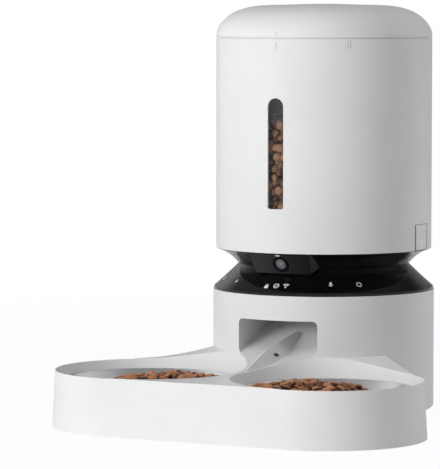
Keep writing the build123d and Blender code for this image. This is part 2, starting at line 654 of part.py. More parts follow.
board_place = camera_face * Pos(0, -board_drop, barrel_back - BOARD_THICKNESS / 2)
export("camera_board", board_place * Box(*CAMERA_BOARD_SIZE, BOARD_THICKNESS))

# Slots in the waist parts for the release hooks, then both cones
hook_slot_outer = HOOK_STEM_OUTER + LOOSE
for side in (-1, 1):
    x0, x1 = sorted((side * HOOK_SLOT_INNER, side * hook_slot_outer))
    collar -= block(x0, x1, -HOOK_STEM_WIDTH / 2 - LOOSE, HOOK_STEM_WIDTH / 2 + LOOSE,
                    HOPPER_BOTTOM - COLLAR_FLANGE - 1, HOPPER_BOTTOM + 1)
export("control_ring", control_ring)
export("collar", collar)

# Dosing cup on the deck plate, with a soft rim that the hopper's outlet meets
cup_top_floor = CUP_BASE + CUP_FLOOR
cup = cylinder(CUP_RADIUS, CUP_BASE, CUP_TOP) - cylinder(CUP_INNER, cup_top_floor, CUP_TOP + 1)
outlet = sector(CUP_INNER - 0.8, CUP_BASE - 1, cup_top_floor + 1, 0, OUTLET_HALF_ANGLE)
cup -= outlet - cylinder(OUTLET_INNER, CUP_BASE - 2, cup_top_floor + 2)
cup -= cylinder(BUSH_RADIUS, CUP_BASE - 1, cup_top_floor + 1)
cup_screws = [around(angle, CUP_RADIUS + SCREW_HEAD + 0.6) for angle in (90, 180, 270)]
for x, y in cup_screws:
    ear = cylinder(SCREW_HEAD + 1.0, CUP_BASE, CUP_BASE + 3, x, y)
    cup += ear - cylinder(CUP_RADIUS - 0.5, CUP_BASE - 1, CUP_BASE + 4)
    cup -= screw_hole(x, y, CUP_BASE - 1, CUP_BASE + 4)
    deck -= screw_hole(x, y, DECK_BOTTOM - 1, DECK_TOP + 1)
export("dosing_cup", cup)
cup_seal_top = CUP_TOP + 1.3
export("cup_seal", ring(CUP_RADIUS, OUTLET_RADIUS - BIN_WALL, CUP_TOP, cup_seal_top))

# Shaft, its bush, the dosing wheel and the gear pair
hub_bottom = cup_top_floor + 0.6
wheel_top = CUP_TOP - 1.5
shaft_top = wheel_top - 3.0
bush = ring(BUSH_RADIUS, SHAFT_RADIUS + SHAFT_FIT, DECK_BOTTOM, hub_bottom)
export("shaft_bush", bush)
flat = block(SHAFT_RADIUS - 1.0, 2 * SHAFT_RADIUS, -SHAFT_RADIUS, SHAFT_RADIUS, hub_bottom + 2, shaft_top + 1)
export("wheel_shaft", cylinder(SHAFT_RADIUS, GEAR_BOTTOM, shaft_top) - flat)
wheel = cylinder(HUB_RADIUS, hub_bottom, wheel_top)
for k in range(VANE_COUNT):
    vane = block(HUB_RADIUS - 1, CUP_INNER - VANE_GAP, -VANE_THICKNESS / 2, VANE_THICKNESS / 2,
                 hub_bottom, wheel_top - 3)
    wheel += Rot(0, 0, (k + 0.5) * 360 / VANE_COUNT) * vane
wheel -= cylinder(SHAFT_RADIUS, hub_bottom - 1, shaft_top) - flat
wheel += Pos(0, 0, wheel_top + STIRRER_HEIGHT / 2) * Cone(HUB_RADIUS, 3.0, STIRRER_HEIGHT)
export("dosing_wheel", wheel)
wheel_gear_turn = 90 - MOTOR_TURN + 180 / GEAR_TEETH
export("wheel_gear", gear(GEAR_TEETH, SHAFT_RADIUS, GEAR_BOTTOM, GEAR_TOP, wheel_gear_turn))
pinion = gear(PINION_TEETH, MOTOR_SHAFT, GEAR_BOTTOM, GEAR_TOP, -90 - MOTOR_TURN)
export("motor_pinion", Pos(MOTOR_X, MOTOR_Y, 0) * pinion)

# Drive bracket and gear motor under the deck plate
bracket_half = GEAR_RADIUS + BRACKET_FRONT
bracket_right = max(bracket_half, MOTOR_X + MOTOR_RADIUS + MOTOR_GAP + BRACKET_PLATE)
bracket_back = MOTOR_Y + MOTOR_RADIUS
bracket = block(-bracket_half, bracket_right, -BRACKET_FRONT, bracket_back,
                BRACKET_TOP - BRACKET_PLATE, BRACKET_TOP)
bracket_screws = []
for side, reach in ((-1, bracket_half), (1, bracket_right)):
    x0, x1 = sorted((side * reach, side * (reach - BRACKET_PLATE)))
    bracket += block(x0, x1, -BRACKET_FRONT, bracket_back, BRACKET_TOP - BRACKET_PLATE, DECK_BOTTOM)
    x0, x1 = sorted((side * (reach - BRACKET_PLATE), side * (reach + BRACKET_EAR)))
    bracket += block(x0, x1, 0.0, 2 * BRACKET_FRONT, DECK_BOTTOM - BRACKET_PLATE, DECK_BOTTOM)
    bracket_screws.append((side * (reach + BRACKET_EAR / 2), BRACKET_FRONT))
for x, y in bracket_screws:
    bracket -= screw_hole(x, y, BRACKET_TOP, DECK_BOTTOM + 1)
    deck -= screw_hole(x, y, DECK_BOTTOM - 1, DECK_TOP + 1)
bracket -= cylinder(MOTOR_SHAFT + 1.0, BRACKET_TOP - BRACKET_PLATE - 1, BRACKET_TOP + 1, MOTOR_X, MOTOR_Y)
bracket -= cylinder(SHAFT_RADIUS + 1.0, BRACKET_TOP - BRACKET_PLATE - 1, BRACKET_TOP + 1)
export("drive_bracket", bracket)
motor_top = BRACKET_TOP - BRACKET_PLATE
motor_bottom = motor_top - MOTOR_LENGTH
gearbox_bottom = motor_top - 0.4 * MOTOR_LENGTH
motor = cylinder(MOTOR_RADIUS, gearbox_bottom, motor_top, MOTOR_X, MOTOR_Y)
motor += cylinder(0.9 * MOTOR_RADIUS, motor_bottom, gearbox_bottom, MOTOR_X, MOTOR_Y)
motor += cylinder(0.25 * MOTOR_RADIUS, motor_bottom - 1.5, motor_bottom, MOTOR_X, MOTOR_Y)
export("gear_motor", motor)
export("motor_shaft", cylinder(MOTOR_SHAFT, motor_top, GEAR_TOP, MOTOR_X, MOTOR_Y))

# The deck plate with every hole in it, and all the screws that meet it
export("deck_plate", deck)
export("deck_screws", Compound(children=[
    *[screw(x, y, DECK_TOP) for x, y in deck_screws],
    *[screw(x, y, CUP_BASE + 3) for x, y in cup_screws],
    *[screw(x, y, DECK_BOTTOM - BRACKET_PLATE, 5.0, down=False) for x, y in bracket_screws],
]))


# Chute: a four-sided duct from the throat down the ramp to the mouth
chute = side_prism(duct(CHUTE_WALL, -BASE_RADIUS), MOUTH_HALF_WIDTH + CHUTE_WALL)
chute &= cylinder(BASE_INNER - SCREW_GAP, 0, BASE_TOP)
chute -= side_prism(duct(0, -BASE_RADIUS - 5), MOUTH_HALF_WIDTH)
chute -= side_prism([(-CHUTE_BACK, DECK_BOTTOM - 3), (-CHUTE_BACK, DECK_BOTTOM + 1),
                     (-THROAT_FRONT, DECK_BOTTOM + 1), (-THROAT_FRONT, DECK_BOTTOM - 3)], MOUTH_HALF_WIDTH)
export("chute", chute)
sensor_y = SENSOR_INSET - BASE_RADIUS
export("food_sensors", Compound(children=[
    Pos(side * (MOUTH_HALF_WIDTH + CHUTE_WALL + 2.5), sensor_y, MOUTH_TOP - SENSOR_DROP) * Box(5, 10, 8)
    for side in (-1, 1)
]))

# Battery box, cells, contacts and the door behind them
box = block(-BOX_HALF - BOX_WALL, BOX_HALF + BOX_WALL, BOX_FRONT - BOX_WALL, BOX_BACK,
            PLATE_TOP, BOX_TOP + BOX_WALL)
box -= block(-BOX_HALF, BOX_HALF, BOX_FRONT, BOX_BACK + 1, PLATE_TOP + BOX_WALL, BOX_TOP)
for k in range(1, CELL_COUNT):
    x = (k - CELL_COUNT / 2) * CELL_PITCH
    box += block(x - 0.4, x + 0.4, BOX_FRONT, CELL_Y - 0.6 * CELL_RADIUS, PLATE_TOP + BOX_WALL, BOX_TOP)
export("battery_box", box)
cell_x = [(k - (CELL_COUNT - 1) / 2) * CELL_PITCH for k in range(CELL_COUNT)]
for number, x in enumerate(cell_x, start=1):
    cell = cylinder(CELL_RADIUS, CELL_BOTTOM, CELL_TOP - CELL_STUD, x, CELL_Y)
    cell += cylinder(CELL_STUD_RADIUS, CELL_TOP - CELL_STUD, CELL_TOP, x, CELL_Y)
    export(f"battery_{number}", cell)
export("battery_contacts", Compound(children=[
    *[Pos(x, CELL_Y, PLATE_TOP + BOX_WALL) * coil(5.5, 0.45, SPRING_ROOM, 2) for x in cell_x],
    *[block(x - 6, x + 6, CELL_Y - 6, CELL_Y + 6, CELL_TOP, BOX_TOP) for x in cell_x],
]))
door = ring(BASE_RADIUS, BASE_INNER, DOOR_BOTTOM, DOOR_TOP)
door &= block(-DOOR_HALF_WIDTH, DOOR_HALF_WIDTH, 0, BASE_RADIUS + 5, DOOR_BOTTOM, DOOR_TOP)
for side in (-1, 1):
    x0, x1 = sorted(side * x for x in DOOR_CLIP_X)
    clip = block(x0, x1, BOX_BACK - 6, BASE_RADIUS, BOX_TOP + BOX_WALL, DOOR_TOP)
    door += clip & cylinder(BASE_RADIUS - 1, 0, BASE_TOP)
door -= Pos(0, BASE_RADIUS + 6.0, DOOR_TOP - 12) * Rot(0, 90, 0) * Cylinder(8.0, 22)
export("battery_door", door)

# Boards on their posts, speaker, power socket and reset button
for node, side in (("main_board", -1), ("power_board", 1)):
    x0, x1 = sorted((side * BOARD_INNER, side * BOARD_OUTER))
    board = block(x0, x1, BOARD_Y, BOARD_Y + BOARD_THICKNESS, BOARD_BOTTOM, BOARD_BOTTOM + BOARD_HEIGHT)
    board += block(x0 + 8, x0 + 22, BOARD_Y - 1.6, BOARD_Y, BOARD_BOTTOM + 28, BOARD_BOTTOM + 42)
    board += block(x1 - 18, x1 - 8, BOARD_Y - 6.0, BOARD_Y, BOARD_BOTTOM + 46, BOARD_BOTTOM + 54)
    board += block(x1 - 20, x1 - 12, BOARD_Y - 2.4, BOARD_Y, BOARD_BOTTOM + 14, BOARD_BOTTOM + 24)
    export(node, board)
speaker = Pos(0, speaker_back, SPEAKER_HEIGHT) * Rot(90, 0, 0) * Cylinder(SPEAKER_RADIUS, 2.0)
speaker += Pos(0, speaker_back - 3.5, SPEAKER_HEIGHT) * Rot(90, 0, 0) * Cylinder(SPEAKER_RADIUS * 0.6, 5.0)
speaker += Pos(0, speaker_back + 1.9, SPEAKER_HEIGHT) * Rot(90, 0, 0) * (
    Cylinder(SPEAKER_RADIUS, 2.0) - Cylinder(SPEAKER_RADIUS - 1.5, 3.0))
export("speaker", speaker)
socket = Cylinder(SOCKET_RADIUS, 12.0) - Pos(0, 0, 1.5) * Cylinder(2.8, 12.0) + Cylinder(SOCKET_PIN, 11.0)
socket += Pos(0, 0, -7.5) * Box(2 * SOCKET_RADIUS + 2, 2 * SOCKET_RADIUS + 2, 3.0)
export("power_socket", radial(REAR_ANGLE, BASE_RADIUS - 6.4, SOCKET_HEIGHT) * socket)
flange_radius = RESET_RADIUS + 1.4
flange_top = BASE_INNER - BASE_RADIUS - 0.6
button = Pos(0, 0, (0.8 + flange_top) / 2) * Cylinder(RESET_RADIUS, 0.8 - flange_top)
button += Pos(0, 0, flange_top - 0.6) * Cylinder(flange_radius, 1.2)
button += Pos(0, 0, flange_top - 2.6) * Cylinder(1.4, 2.8)
export("reset_button", radial(REAR_ANGLE, BASE_RADIUS, RESET_HEIGHT) * button)
switch_top = flange_top - 4.0 - RESET_TRAVEL - 0.1
switch = Pos(0, 0, switch_top - 2.5) * Box(12, 12, 5)
export("reset_switch", radial(REAR_ANGLE, BASE_RADIUS, RESET_HEIGHT) * switch)
spring_length = flange_top - 1.2 - RESET_TRAVEL - switch_top
spring_place = radial(REAR_ANGLE, BASE_RADIUS, RESET_HEIGHT) * Pos(0, 0, switch_top)
export("reset_spring", spring_place * coil(RESET_SPRING_RADIUS, RESET_SPRING_WIRE, spring_length, 3))


# Hopper shell with the window slot and the two release slots
def window(margin, y0, y1):
    """The window's outline, round at the top, as a prism along Y."""
    half = WINDOW_WIDTH / 2 + margin
    bottom, shoulder = WINDOW_BOTTOM - margin, WINDOW_TOP + margin - half
    body = Pos(0, (bottom + shoulder) / 2) * Rectangle(2 * half, shoulder - bottom)
    body += Pos(0, shoulder) * Circle(half)
    corners = body.vertices().sort_by(Axis.Y)[:2]
    return Pos(0, y1, 0) * extrude(Plane.XZ * fillet(corners, WINDOW_CORNER + margin), y1 - y0)


hopper = ring(HOPPER_RADIUS, HOPPER_INNER, HOPPER_BOTTOM, HOPPER_TOP)
hopper -= window(0, -HOPPER_RADIUS - 5, -HOPPER_RADIUS / 2)
tab_half = HOPPER_RADIUS * sin(radians(TAB_HALF_ANGLE))
for side in (-1, 1):
    x0, x1 = sorted((side * HOPPER_RADIUS / 2, side * (HOPPER_RADIUS + 5)))
    hopper -= block(x0, x1, -tab_half, tab_half, HOPPER_BOTTOM - 1, TAB_TOP)
pin_x = HOPPER_INNER + 0.2
pin_height = TAB_TOP - TAB_PIN_DROP
pin_half = tab_half + 2.0


def tab_pin(side, radius, length):
    """A release tab's hinge pin, or its hole, along Y."""
    return Pos(side * pin_x, 0, pin_height) * Rot(90, 0, 0) * Cylinder(radius, length)


for side in (-1, 1):
    hopper -= tab_pin(side, TAB_PIN_RADIUS, 2 * pin_half)
export("hopper_shell", hopper)

# Window pane: flush in the slot with a flange behind the wall
pane = window(-0.1, -HOPPER_RADIUS - 5, -HOPPER_RADIUS / 2) & ring(
    HOPPER_RADIUS - 0.3, HOPPER_INNER, WINDOW_BOTTOM - 5, WINDOW_TOP + 5)
pane += window(PANE_FLANGE, -HOPPER_RADIUS - 5, -HOPPER_RADIUS / 2) & ring(
    HOPPER_INNER, HOPPER_INNER - PANE_FLANGE_DEPTH, WINDOW_BOTTOM - 5, WINDOW_TOP + 5)
export("window_pane", pane)

# Inner bin: rim, straight wall, funnel and outlet spigot, with the lid's locking hooks inside the rim
outlet_bottom = cup_seal_top + 0.2
outlet_inner = OUTLET_RADIUS - BIN_WALL
food_bin = spin([
    (HOPPER_INNER - SCREW_GAP, BIN_TOP),
    (HOPPER_INNER - SCREW_GAP, BIN_TOP - BIN_WALL),
    (BIN_OUTER, BIN_TOP - BIN_WALL),
    (BIN_OUTER, FUNNEL_TOP),
    (OUTLET_RADIUS, FUNNEL_BOTTOM),
    (OUTLET_RADIUS, outlet_bottom),
    (outlet_inner, outlet_bottom),
    (outlet_inner, FUNNEL_BOTTOM + BIN_WALL / 2),
    (BIN_INNER, FUNNEL_TOP + BIN_WALL / 2),
    (BIN_INNER, BIN_TOP),
])
seal_top = BIN_TOP + SEAL_THICKNESS
lug_bottom = seal_top - PLUG_DEPTH
lug_top = lug_bottom + LUG_HEIGHT
hook_bottom = lug_top + 1.0
for k in range(LUG_COUNT):
    hook = ring(BIN_INNER + 0.5, BIN_INNER - HOOK_REACH, hook_bottom, hook_bottom + HOOK_HEIGHT)
    food_bin += hook & sector(BIN_OUTER, hook_bottom, hook_bottom + HOOK_HEIGHT,
                              LOCK_TURN + k * 360 / LUG_COUNT, HOOK_ANGLE / 2)
export("food_bin", food_bin)

# Floor ring that closes the hopper underneath, with room and spring posts for the tabs
floor_top = HOPPER_BOTTOM + FLOOR_RING
post_x = HOOK_STEM_OUTER + 5.5
post_height = HOPPER_BOTTOM + TAB_SPRING_RISE
hopper_floor = ring(HOPPER_INNER - SCREW_GAP, OUTLET_RADIUS, HOPPER_BOTTOM, floor_top)
for side in (-1, 1):
    x0, x1 = sorted((side * HOOK_SLOT_INNER, side * hook_slot_outer))
    hopper_floor -= block(x0, x1, -HOOK_STEM_WIDTH / 2 - LOOSE, HOOK_STEM_WIDTH / 2 + LOOSE,
                          HOPPER_BOTTOM - 1, floor_top + 1)
    x0, x1 = sorted((side * (post_x + 2.5), side * HOPPER_RADIUS))
    hopper_floor -= block(x0, x1, -tab_half - 1, tab_half + 1, HOPPER_BOTTOM - 1, floor_top + 1)
    x0, x1 = sorted((side * post_x, side * (post_x + 2.0)))
    bridge_half, opening_half = HOOK_STEM_WIDTH / 2 + 3, HOOK_STEM_WIDTH / 2 + 1
    bridge = block(x0, x1, -bridge_half, bridge_half, floor_top, post_height + 4)
    bridge -= block(x0 - 1, x1 + 1, -opening_half, opening_half, floor_top, post_height - 4)
    hopper_floor += bridge
export("hopper_floor", hopper_floor)

# Release tabs with their hooks, pins and springs
arm_bottom = floor_top + 2.0
lip_top = HOPPER_BOTTOM - COLLAR_FLANGE - HOOK_CLEARANCE
stem_half = HOOK_STEM_WIDTH / 2
for name, side in (("left", -1), ("right", 1)):
    tab = ring(HOPPER_RADIUS, HOPPER_INNER, HOPPER_BOTTOM + TAB_GAP, TAB_TOP - TAB_GAP)
    x0, x1 = sorted((side * HOPPER_RADIUS / 2, side * (HOPPER_RADIUS + 5)))
    tab &= block(x0, x1, -tab_half + TAB_GAP, tab_half - TAB_GAP, HOPPER_BOTTOM, TAB_TOP)
    tab -= tab_pin(side, TAB_PIN_RADIUS + SHAFT_FIT, 3 * tab_half)
    x0, x1 = sorted((side * (HOOK_STEM_OUTER - HOOK_STEM), side * (HOPPER_INNER + 0.5)))
    tab += block(x0, x1, -stem_half, stem_half, arm_bottom, arm_bottom + TAB_ARM)
    x0, x1 = sorted((side * (HOOK_STEM_OUTER - HOOK_STEM), side * HOOK_STEM_OUTER))
    tab += block(x0, x1, -stem_half, stem_half, lip_top - HOOK_LIP_HEIGHT, arm_bottom + 1)
    x0, x1 = sorted((side * (HOOK_STEM_OUTER - 0.5), side * (HOOK_STEM_OUTER + HOOK_LIP)))
    tab += block(x0, x1, -stem_half, stem_half, lip_top - HOOK_LIP_HEIGHT, lip_top)
    export(f"{name}_release_tab", tab)
export("tab_pins", Compound(children=[tab_pin(side, TAB_PIN_RADIUS, 2 * pin_half) for side in (-1, 1)]))
tab_spring = coil(TAB_SPRING_RADIUS, TAB_SPRING_WIRE, HOPPER_INNER - 0.8 - post_x - 2.0, 4)
export("tab_springs", Compound(children=[
    Pos(side * (post_x + 2.0), 0, post_height) * Rot(0, side * 90, 0) * tab_spring for side in (-1, 1)
]))


# Lid: domed cover, plate with locking plug, seal, and the desiccant cup under it
def dome(inset):
    """The dome as a solid of revolution, inset by a wall."""
    radius, rise = HOPPER_RADIUS - inset, LID_RISE - inset
    start = (radius, HOPPER_TOP + LID_STEP)
    shoulder = [(radius * r, HOPPER_TOP + rise * h) for r, h in DOME_SHOULDER]
    top = (0, HOPPER_TOP + rise)
    return spin_wire(
        Polyline(top, (0, HOPPER_TOP + LID_GAP), (radius, HOPPER_TOP + LID_GAP), start),
        Spline(start, *shoulder, top, tangents=[(0, 1), (-1, 0)], tangent_scalars=(1, 1)),
    )


plate_bottom = seal_top
plate_top = plate_bottom + PLUG_PLATE
dome_room = dome(LID_WALL)
lid_cover = dome(0) - dome_room
boss_places = [around(60 + 120 * k, LID_BOSS_SHARE * HOPPER_RADIUS) for k in range(3)]
for x, y in boss_places:
    lid_cover += cylinder(LID_BOSS_RADIUS, plate_top, HOPPER_TOP + LID_RISE, x, y) & dome_room
    lid_cover -= screw_hole(x, y, plate_top - 1, plate_top + LID_SCREW_LENGTH)
export("lid_cover", lid_cover)
lid_plate = cylinder(HOPPER_INNER - LOOSE, plate_bottom, plate_top)
lid_plate += ring(PLUG_RADIUS, PLUG_RADIUS - PLUG_WALL, lug_bottom, plate_bottom + 0.5)
for k in range(LUG_COUNT):
    lug = ring(PLUG_RADIUS + LUG_REACH, PLUG_RADIUS - 0.5, lug_bottom, lug_top)
    lid_plate += lug & sector(HOPPER_RADIUS, lug_bottom, lug_top, k * 360 / LUG_COUNT, LUG_ANGLE / 2)
lid_plate += ring(DESICCANT_RADIUS, DESICCANT_RADIUS - DESICCANT_WALL, plate_bottom - DESICCANT_DEPTH,
                  plate_bottom + 0.5)
for x, y in boss_places:
    lid_plate -= screw_hole(x, y, plate_bottom - 1, plate_top + 1)
export("lid_plate", lid_plate)
export("lid_screws", Compound(children=[
    screw(x, y, plate_bottom, LID_SCREW_LENGTH, down=False) for x, y in boss_places
]))
export("lid_seal", ring(HOPPER_INNER - 2 * LOOSE, PLUG_RADIUS + LOOSE, BIN_TOP, seal_top))
cap_radius = DESICCANT_RADIUS - DESICCANT_WALL - LOOSE
cap_bottom = plate_bottom - DESICCANT_DEPTH
cap = cylinder(cap_radius, cap_bottom, cap_bottom + DESICCANT_CAP)
for count, radius in ((8, 0.42 * cap_radius), (14, 0.72 * cap_radius)):
    for k in range(count):
        x, y = around(360 * k / count, radius)
        cap -= cylinder(1.8, cap_bottom - 1, cap_bottom + DESICCANT_CAP + 1, x, y)
cap += block(-0.25 * cap_radius, 0.25 * cap_radius, -1.2, 1.2, cap_bottom - 3.0, cap_bottom + 0.5)
export("desiccant_cap", cap)
bag_bottom = cap_bottom + DESICCANT_CAP + 0.6
bag = cylinder(cap_radius - 1.0, bag_bottom, plate_bottom - 1.0)
export("desiccant_bag", chamfer(bag.edges().filter_by(GeomType.CIRCLE), 2.5))

# Tray: a drafted outline, a deck that falls away from the tower, and a cone down to each bowl
tray_gap_radius = BASE_RADIUS + TRAY_CLEARANCE
tip_x, tip_y = around(TRAY_TIP_ANGLE, tray_gap_radius)


def tray_outline(inset):
    """The tray's plan at floor level, running on inside the tower, inset by a wall."""
    radius = TRAY_RADIUS - inset
    end = (TRAY_CENTRE_X + radius * cos(radians(TRAY_END_ANGLE)),
           -TRAY_CENTRE_Y + radius * sin(radians(TRAY_END_ANGLE)))
    tip = (tip_x + (TRAY_DRAFT - inset) * 0.7, tip_y + (TRAY_DRAFT - inset) * 0.7)
    run = hypot(end[0] - tip[0], end[1] - tip[1])
    normal = ((tip[1] - end[1]) / run, (end[0] - tip[0]) / run)
    bow = ((end[0] + tip[0]) / 2 + TRAY_SIDE_BOW * normal[0],
           (end[1] + tip[1]) / 2 + TRAY_SIDE_BOW * normal[1])
    inner = (0.8 * tip[0], tip[1])
    front = -TRAY_CENTRE_Y - radius
    half = Curve() + [
        Line((0, front), (TRAY_CENTRE_X, front)),
        ThreePointArc((TRAY_CENTRE_X, front), (TRAY_CENTRE_X + radius * cos(radians(-20)),
                      -TRAY_CENTRE_Y + radius * sin(radians(-20))), end),
        ThreePointArc(end, bow, tip),
        Line(tip, inner),
    ]
    other = mirror(half, Plane.YZ)
    return make_face([*half.edges(), *other.edges(), Line(inner, (-inner[0], inner[1])).edge()])


def crest(y):
    """Height of the splitter ridge's crest."""
    if y > -CREST_JOIN_Y:
        return CREST_JOIN + (CREST_BACK - CREST_JOIN) * (y + CREST_JOIN_Y) / (CREST_JOIN_Y - CREST_BACK_Y)
    return CREST_FRONT + (CREST_JOIN - CREST_FRONT) * (y + CREST_FRONT_Y) / (CREST_FRONT_Y - CREST_JOIN_Y)


def ridge_part(y0, y1, bottom):
    """A roof-shaped length of the ridge between two y values, down to a level."""
    ends = []
    for y in (y0, y1):
        foot = CREST_HALF + (crest(y) - bottom) / FLANK_SLOPE
        corners = [(-foot, bottom), (foot, bottom), (CREST_HALF, crest(y)), (-CREST_HALF, crest(y))]
        ends.append(Plane(origin=(0, y, 0), x_dir=(1, 0, 0), z_dir=(0, -1, 0))
                    * make_face(Polyline([*corners, corners[0]])))
    return loft(ends)


def top_form(drop):
    """Everything under the tray's top surface, lowered by a wall."""
    deck_end = BASE_RADIUS + TRAY_DECK_REACH
    middle = (BASE_RADIUS + 0.42 * TRAY_DECK_REACH, (TRAY_DECK + TRAY_RIM) / 2 - 0.5 * TRAY_DECK_SAG)
    form = spin_wire(
        Polyline((0, -20), (0, TRAY_DECK), (BASE_RADIUS, TRAY_DECK)),
        ThreePointArc((BASE_RADIUS, TRAY_DECK), middle, (deck_end, TRAY_RIM)),
        Polyline((deck_end, TRAY_RIM), (4 * BASE_RADIUS, TRAY_RIM), (4 * BASE_RADIUS, -20), (0, -20)),
    )
    form += ridge_part(-CREST_JOIN_Y, -BASE_RADIUS + 2, BOWL_RIM_HEIGHT) & block(
        -TRAY_CENTRE_X, TRAY_CENTRE_X, -CREST_JOIN_Y, 0, 0, TRAY_DECK)
    form += ridge_part(-CREST_FRONT_Y, -CREST_JOIN_Y, BOWL_RIM_HEIGHT)
    cone_reach = CREST_BACK - BOWL_RIM_HEIGHT + DECK_RISE
    for side in (-1, 1):
        cone = Pos(side * TRAY_CENTRE_X, -TRAY_CENTRE_Y, BOWL_RIM_HEIGHT + cone_reach / 2) * Cone(
            BOWL_RIM_RADIUS + LOOSE, BOWL_RIM_RADIUS + LOOSE + cone_reach / RECESS_SLOPE, cone_reach)
        seat = cylinder(BOWL_RIM_RADIUS + LOOSE, BOWL_RIM_HEIGHT - BOWL_WALL, BOWL_RIM_HEIGHT + 1,
                        side * TRAY_CENTRE_X, -TRAY_CENTRE_Y)
        form -= cone + seat
    return Pos(0, 0, -drop) * form


def tray_block(inset, bottom):
    """The tray's drafted outside, inset by a wall, kept clear of the tower."""
    slope = degrees(atan2(TRAY_DRAFT, TRAY_RIM))
    solid = Pos(0, 0, bottom) * extrude(tray_outline(inset), TRAY_DECK + 5 - bottom, taper=slope)
    return solid - cylinder(tray_gap_radius + inset, bottom - 1, TRAY_DECK + 10)


tray = tray_block(0, TRAY_SKIRT) & top_form(0)
tray -= tray_block(TRAY_WALL, TRAY_SKIRT) & top_form(TRAY_WALL)
well_bottom = BOWL_BASE - WELL_GAP - WELL_FLOOR
for side in (-1, 1):
    x, y = side * TRAY_CENTRE_X, -TRAY_CENTRE_Y
    well = cylinder(WELL_RADIUS + WELL_FLOOR, well_bottom, BOWL_RIM_HEIGHT - BOWL_WALL - 1, x, y)
    tray += well & tray_block(0, TRAY_SKIRT)
for side in (-1, 1):
    x, y = side * TRAY_CENTRE_X, -TRAY_CENTRE_Y
    tray -= cylinder(WELL_RADIUS, well_bottom + WELL_FLOOR, TRAY_DECK + 10, x, y)
tongue_back = sqrt(BASE_RADIUS**2 - (TONGUE_X + TONGUE_WIDTH / 2)**2) - TONGUE_REACH
for side in (-1, 1):
    tongue = block(side * TONGUE_X - TONGUE_WIDTH / 2, side * TONGUE_X + TONGUE_WIDTH / 2,
                   -tray_gap_radius - TRAY_WALL - 2, -tongue_back,
                   TONGUE_BOTTOM, TONGUE_BOTTOM + TONGUE_HEIGHT)
    tray += tongue - block(-BASE_RADIUS, BASE_RADIUS, -2 * BASE_RADIUS, -tray_gap_radius - 1, 0, TRAY_DECK)
for y in PEG_Y:
    tray -= cylinder(PEG_RADIUS + LOOSE, TRAY_DECK - PEG_LENGTH - 1, TRAY_DECK + 5, 0, -y)
export("tray", tray)
export("tray_feet", Compound(children=[
    cylinder(TRAY_FOOT_RADIUS, 0, well_bottom, side * TRAY_CENTRE_X + x, -TRAY_CENTRE_Y + y)
    for side in (-1, 1)
    for x, y in (around(angle, 0.72 * WELL_RADIUS) for angle in (0, 120, 240))
]))

# Splitter: the loose ridge that parts the food, from inside the chute to the tray's own ridge
splitter_bottom = TRAY_DECK + SPLITTER_GAP
splitter = ridge_part(-CREST_JOIN_Y + LOOSE, -CREST_BACK_Y, MOUTH_BOTTOM - 6)
under = side_prism([
    (-CREST_JOIN_Y - 5, splitter_bottom), (MOUTH_Y, splitter_bottom),
    (-CHUTE_BACK, ramp(-CHUTE_BACK) + splitter_bottom - MOUTH_BOTTOM + SPLITTER_GAP),
    (-CHUTE_BACK, 0), (-CREST_JOIN_Y - 5, 0),
], 2 * MOUTH_HALF_WIDTH)
splitter -= under
fin_hole = Pos(0, -BASE_RADIUS - FIN_HOLE_REACH, TRAY_DECK + FIN_HOLE_RISE) * Rot(0, 90, 0)
splitter -= fin_hole * Cylinder(FIN_HOLE_RADIUS, 2 * MOUTH_HALF_WIDTH)
for y in PEG_Y:
    splitter += cylinder(PEG_RADIUS, TRAY_DECK - PEG_LENGTH, splitter_bottom + 1, 0, -y)
export("splitter", splitter)

# Bowls: pressed steel with flaring walls and a flat rim that rests in the tray
flare_angle = atan2(BOWL_FLARE, BOWL_DEPTH - BOWL_WALL)
outer_shift = BOWL_WALL / cos(flare_angle) - BOWL_WALL * tan(flare_angle)
wall_top = (BOWL_INNER_RADIUS, BOWL_RIM_HEIGHT)
outer_top = (BOWL_INNER_RADIUS + outer_shift, BOWL_RIM_HEIGHT - BOWL_WALL)
bowl = spin_wire(
    FilletPolyline((0, BOWL_BASE + BOWL_WALL), (BOWL_FLOOR_RADIUS, BOWL_BASE + BOWL_WALL), wall_top,
                   radius=BOWL_CORNER),
    Polyline(wall_top, (BOWL_RIM_RADIUS, BOWL_RIM_HEIGHT), (BOWL_RIM_RADIUS, BOWL_RIM_HEIGHT - BOWL_WALL),
             outer_top),
    FilletPolyline(outer_top, (BOWL_FLOOR_RADIUS + outer_shift, BOWL_BASE), (0, BOWL_BASE),
                   radius=BOWL_CORNER + BOWL_WALL),
    Line((0, BOWL_BASE), (0, BOWL_BASE + BOWL_WALL)),
)
for name, side in (("left", -1), ("right", 1)):
    export(f"{name}_bowl", Pos(side * TRAY_CENTRE_X, -TRAY_CENTRE_Y, 0) * bowl)
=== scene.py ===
"""Looks of the double-bowl automatic pet feeder: moulded white shells, a gloss black waist with
camera and touch symbols, steel bowls, and the dry food in the bowls and behind the window.

Metres, +Z up. The tower's axis is the Z axis, the floor is z = 0 and the front faces -Y.
"""

import math

import bmesh
import bpy
from bpy.props import FloatProperty, FloatVectorProperty, IntProperty, PointerProperty
from bpy.types import Operator, Panel, PropertyGroup, Scene
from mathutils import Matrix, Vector
from mathutils.bvhtree import BVHTree


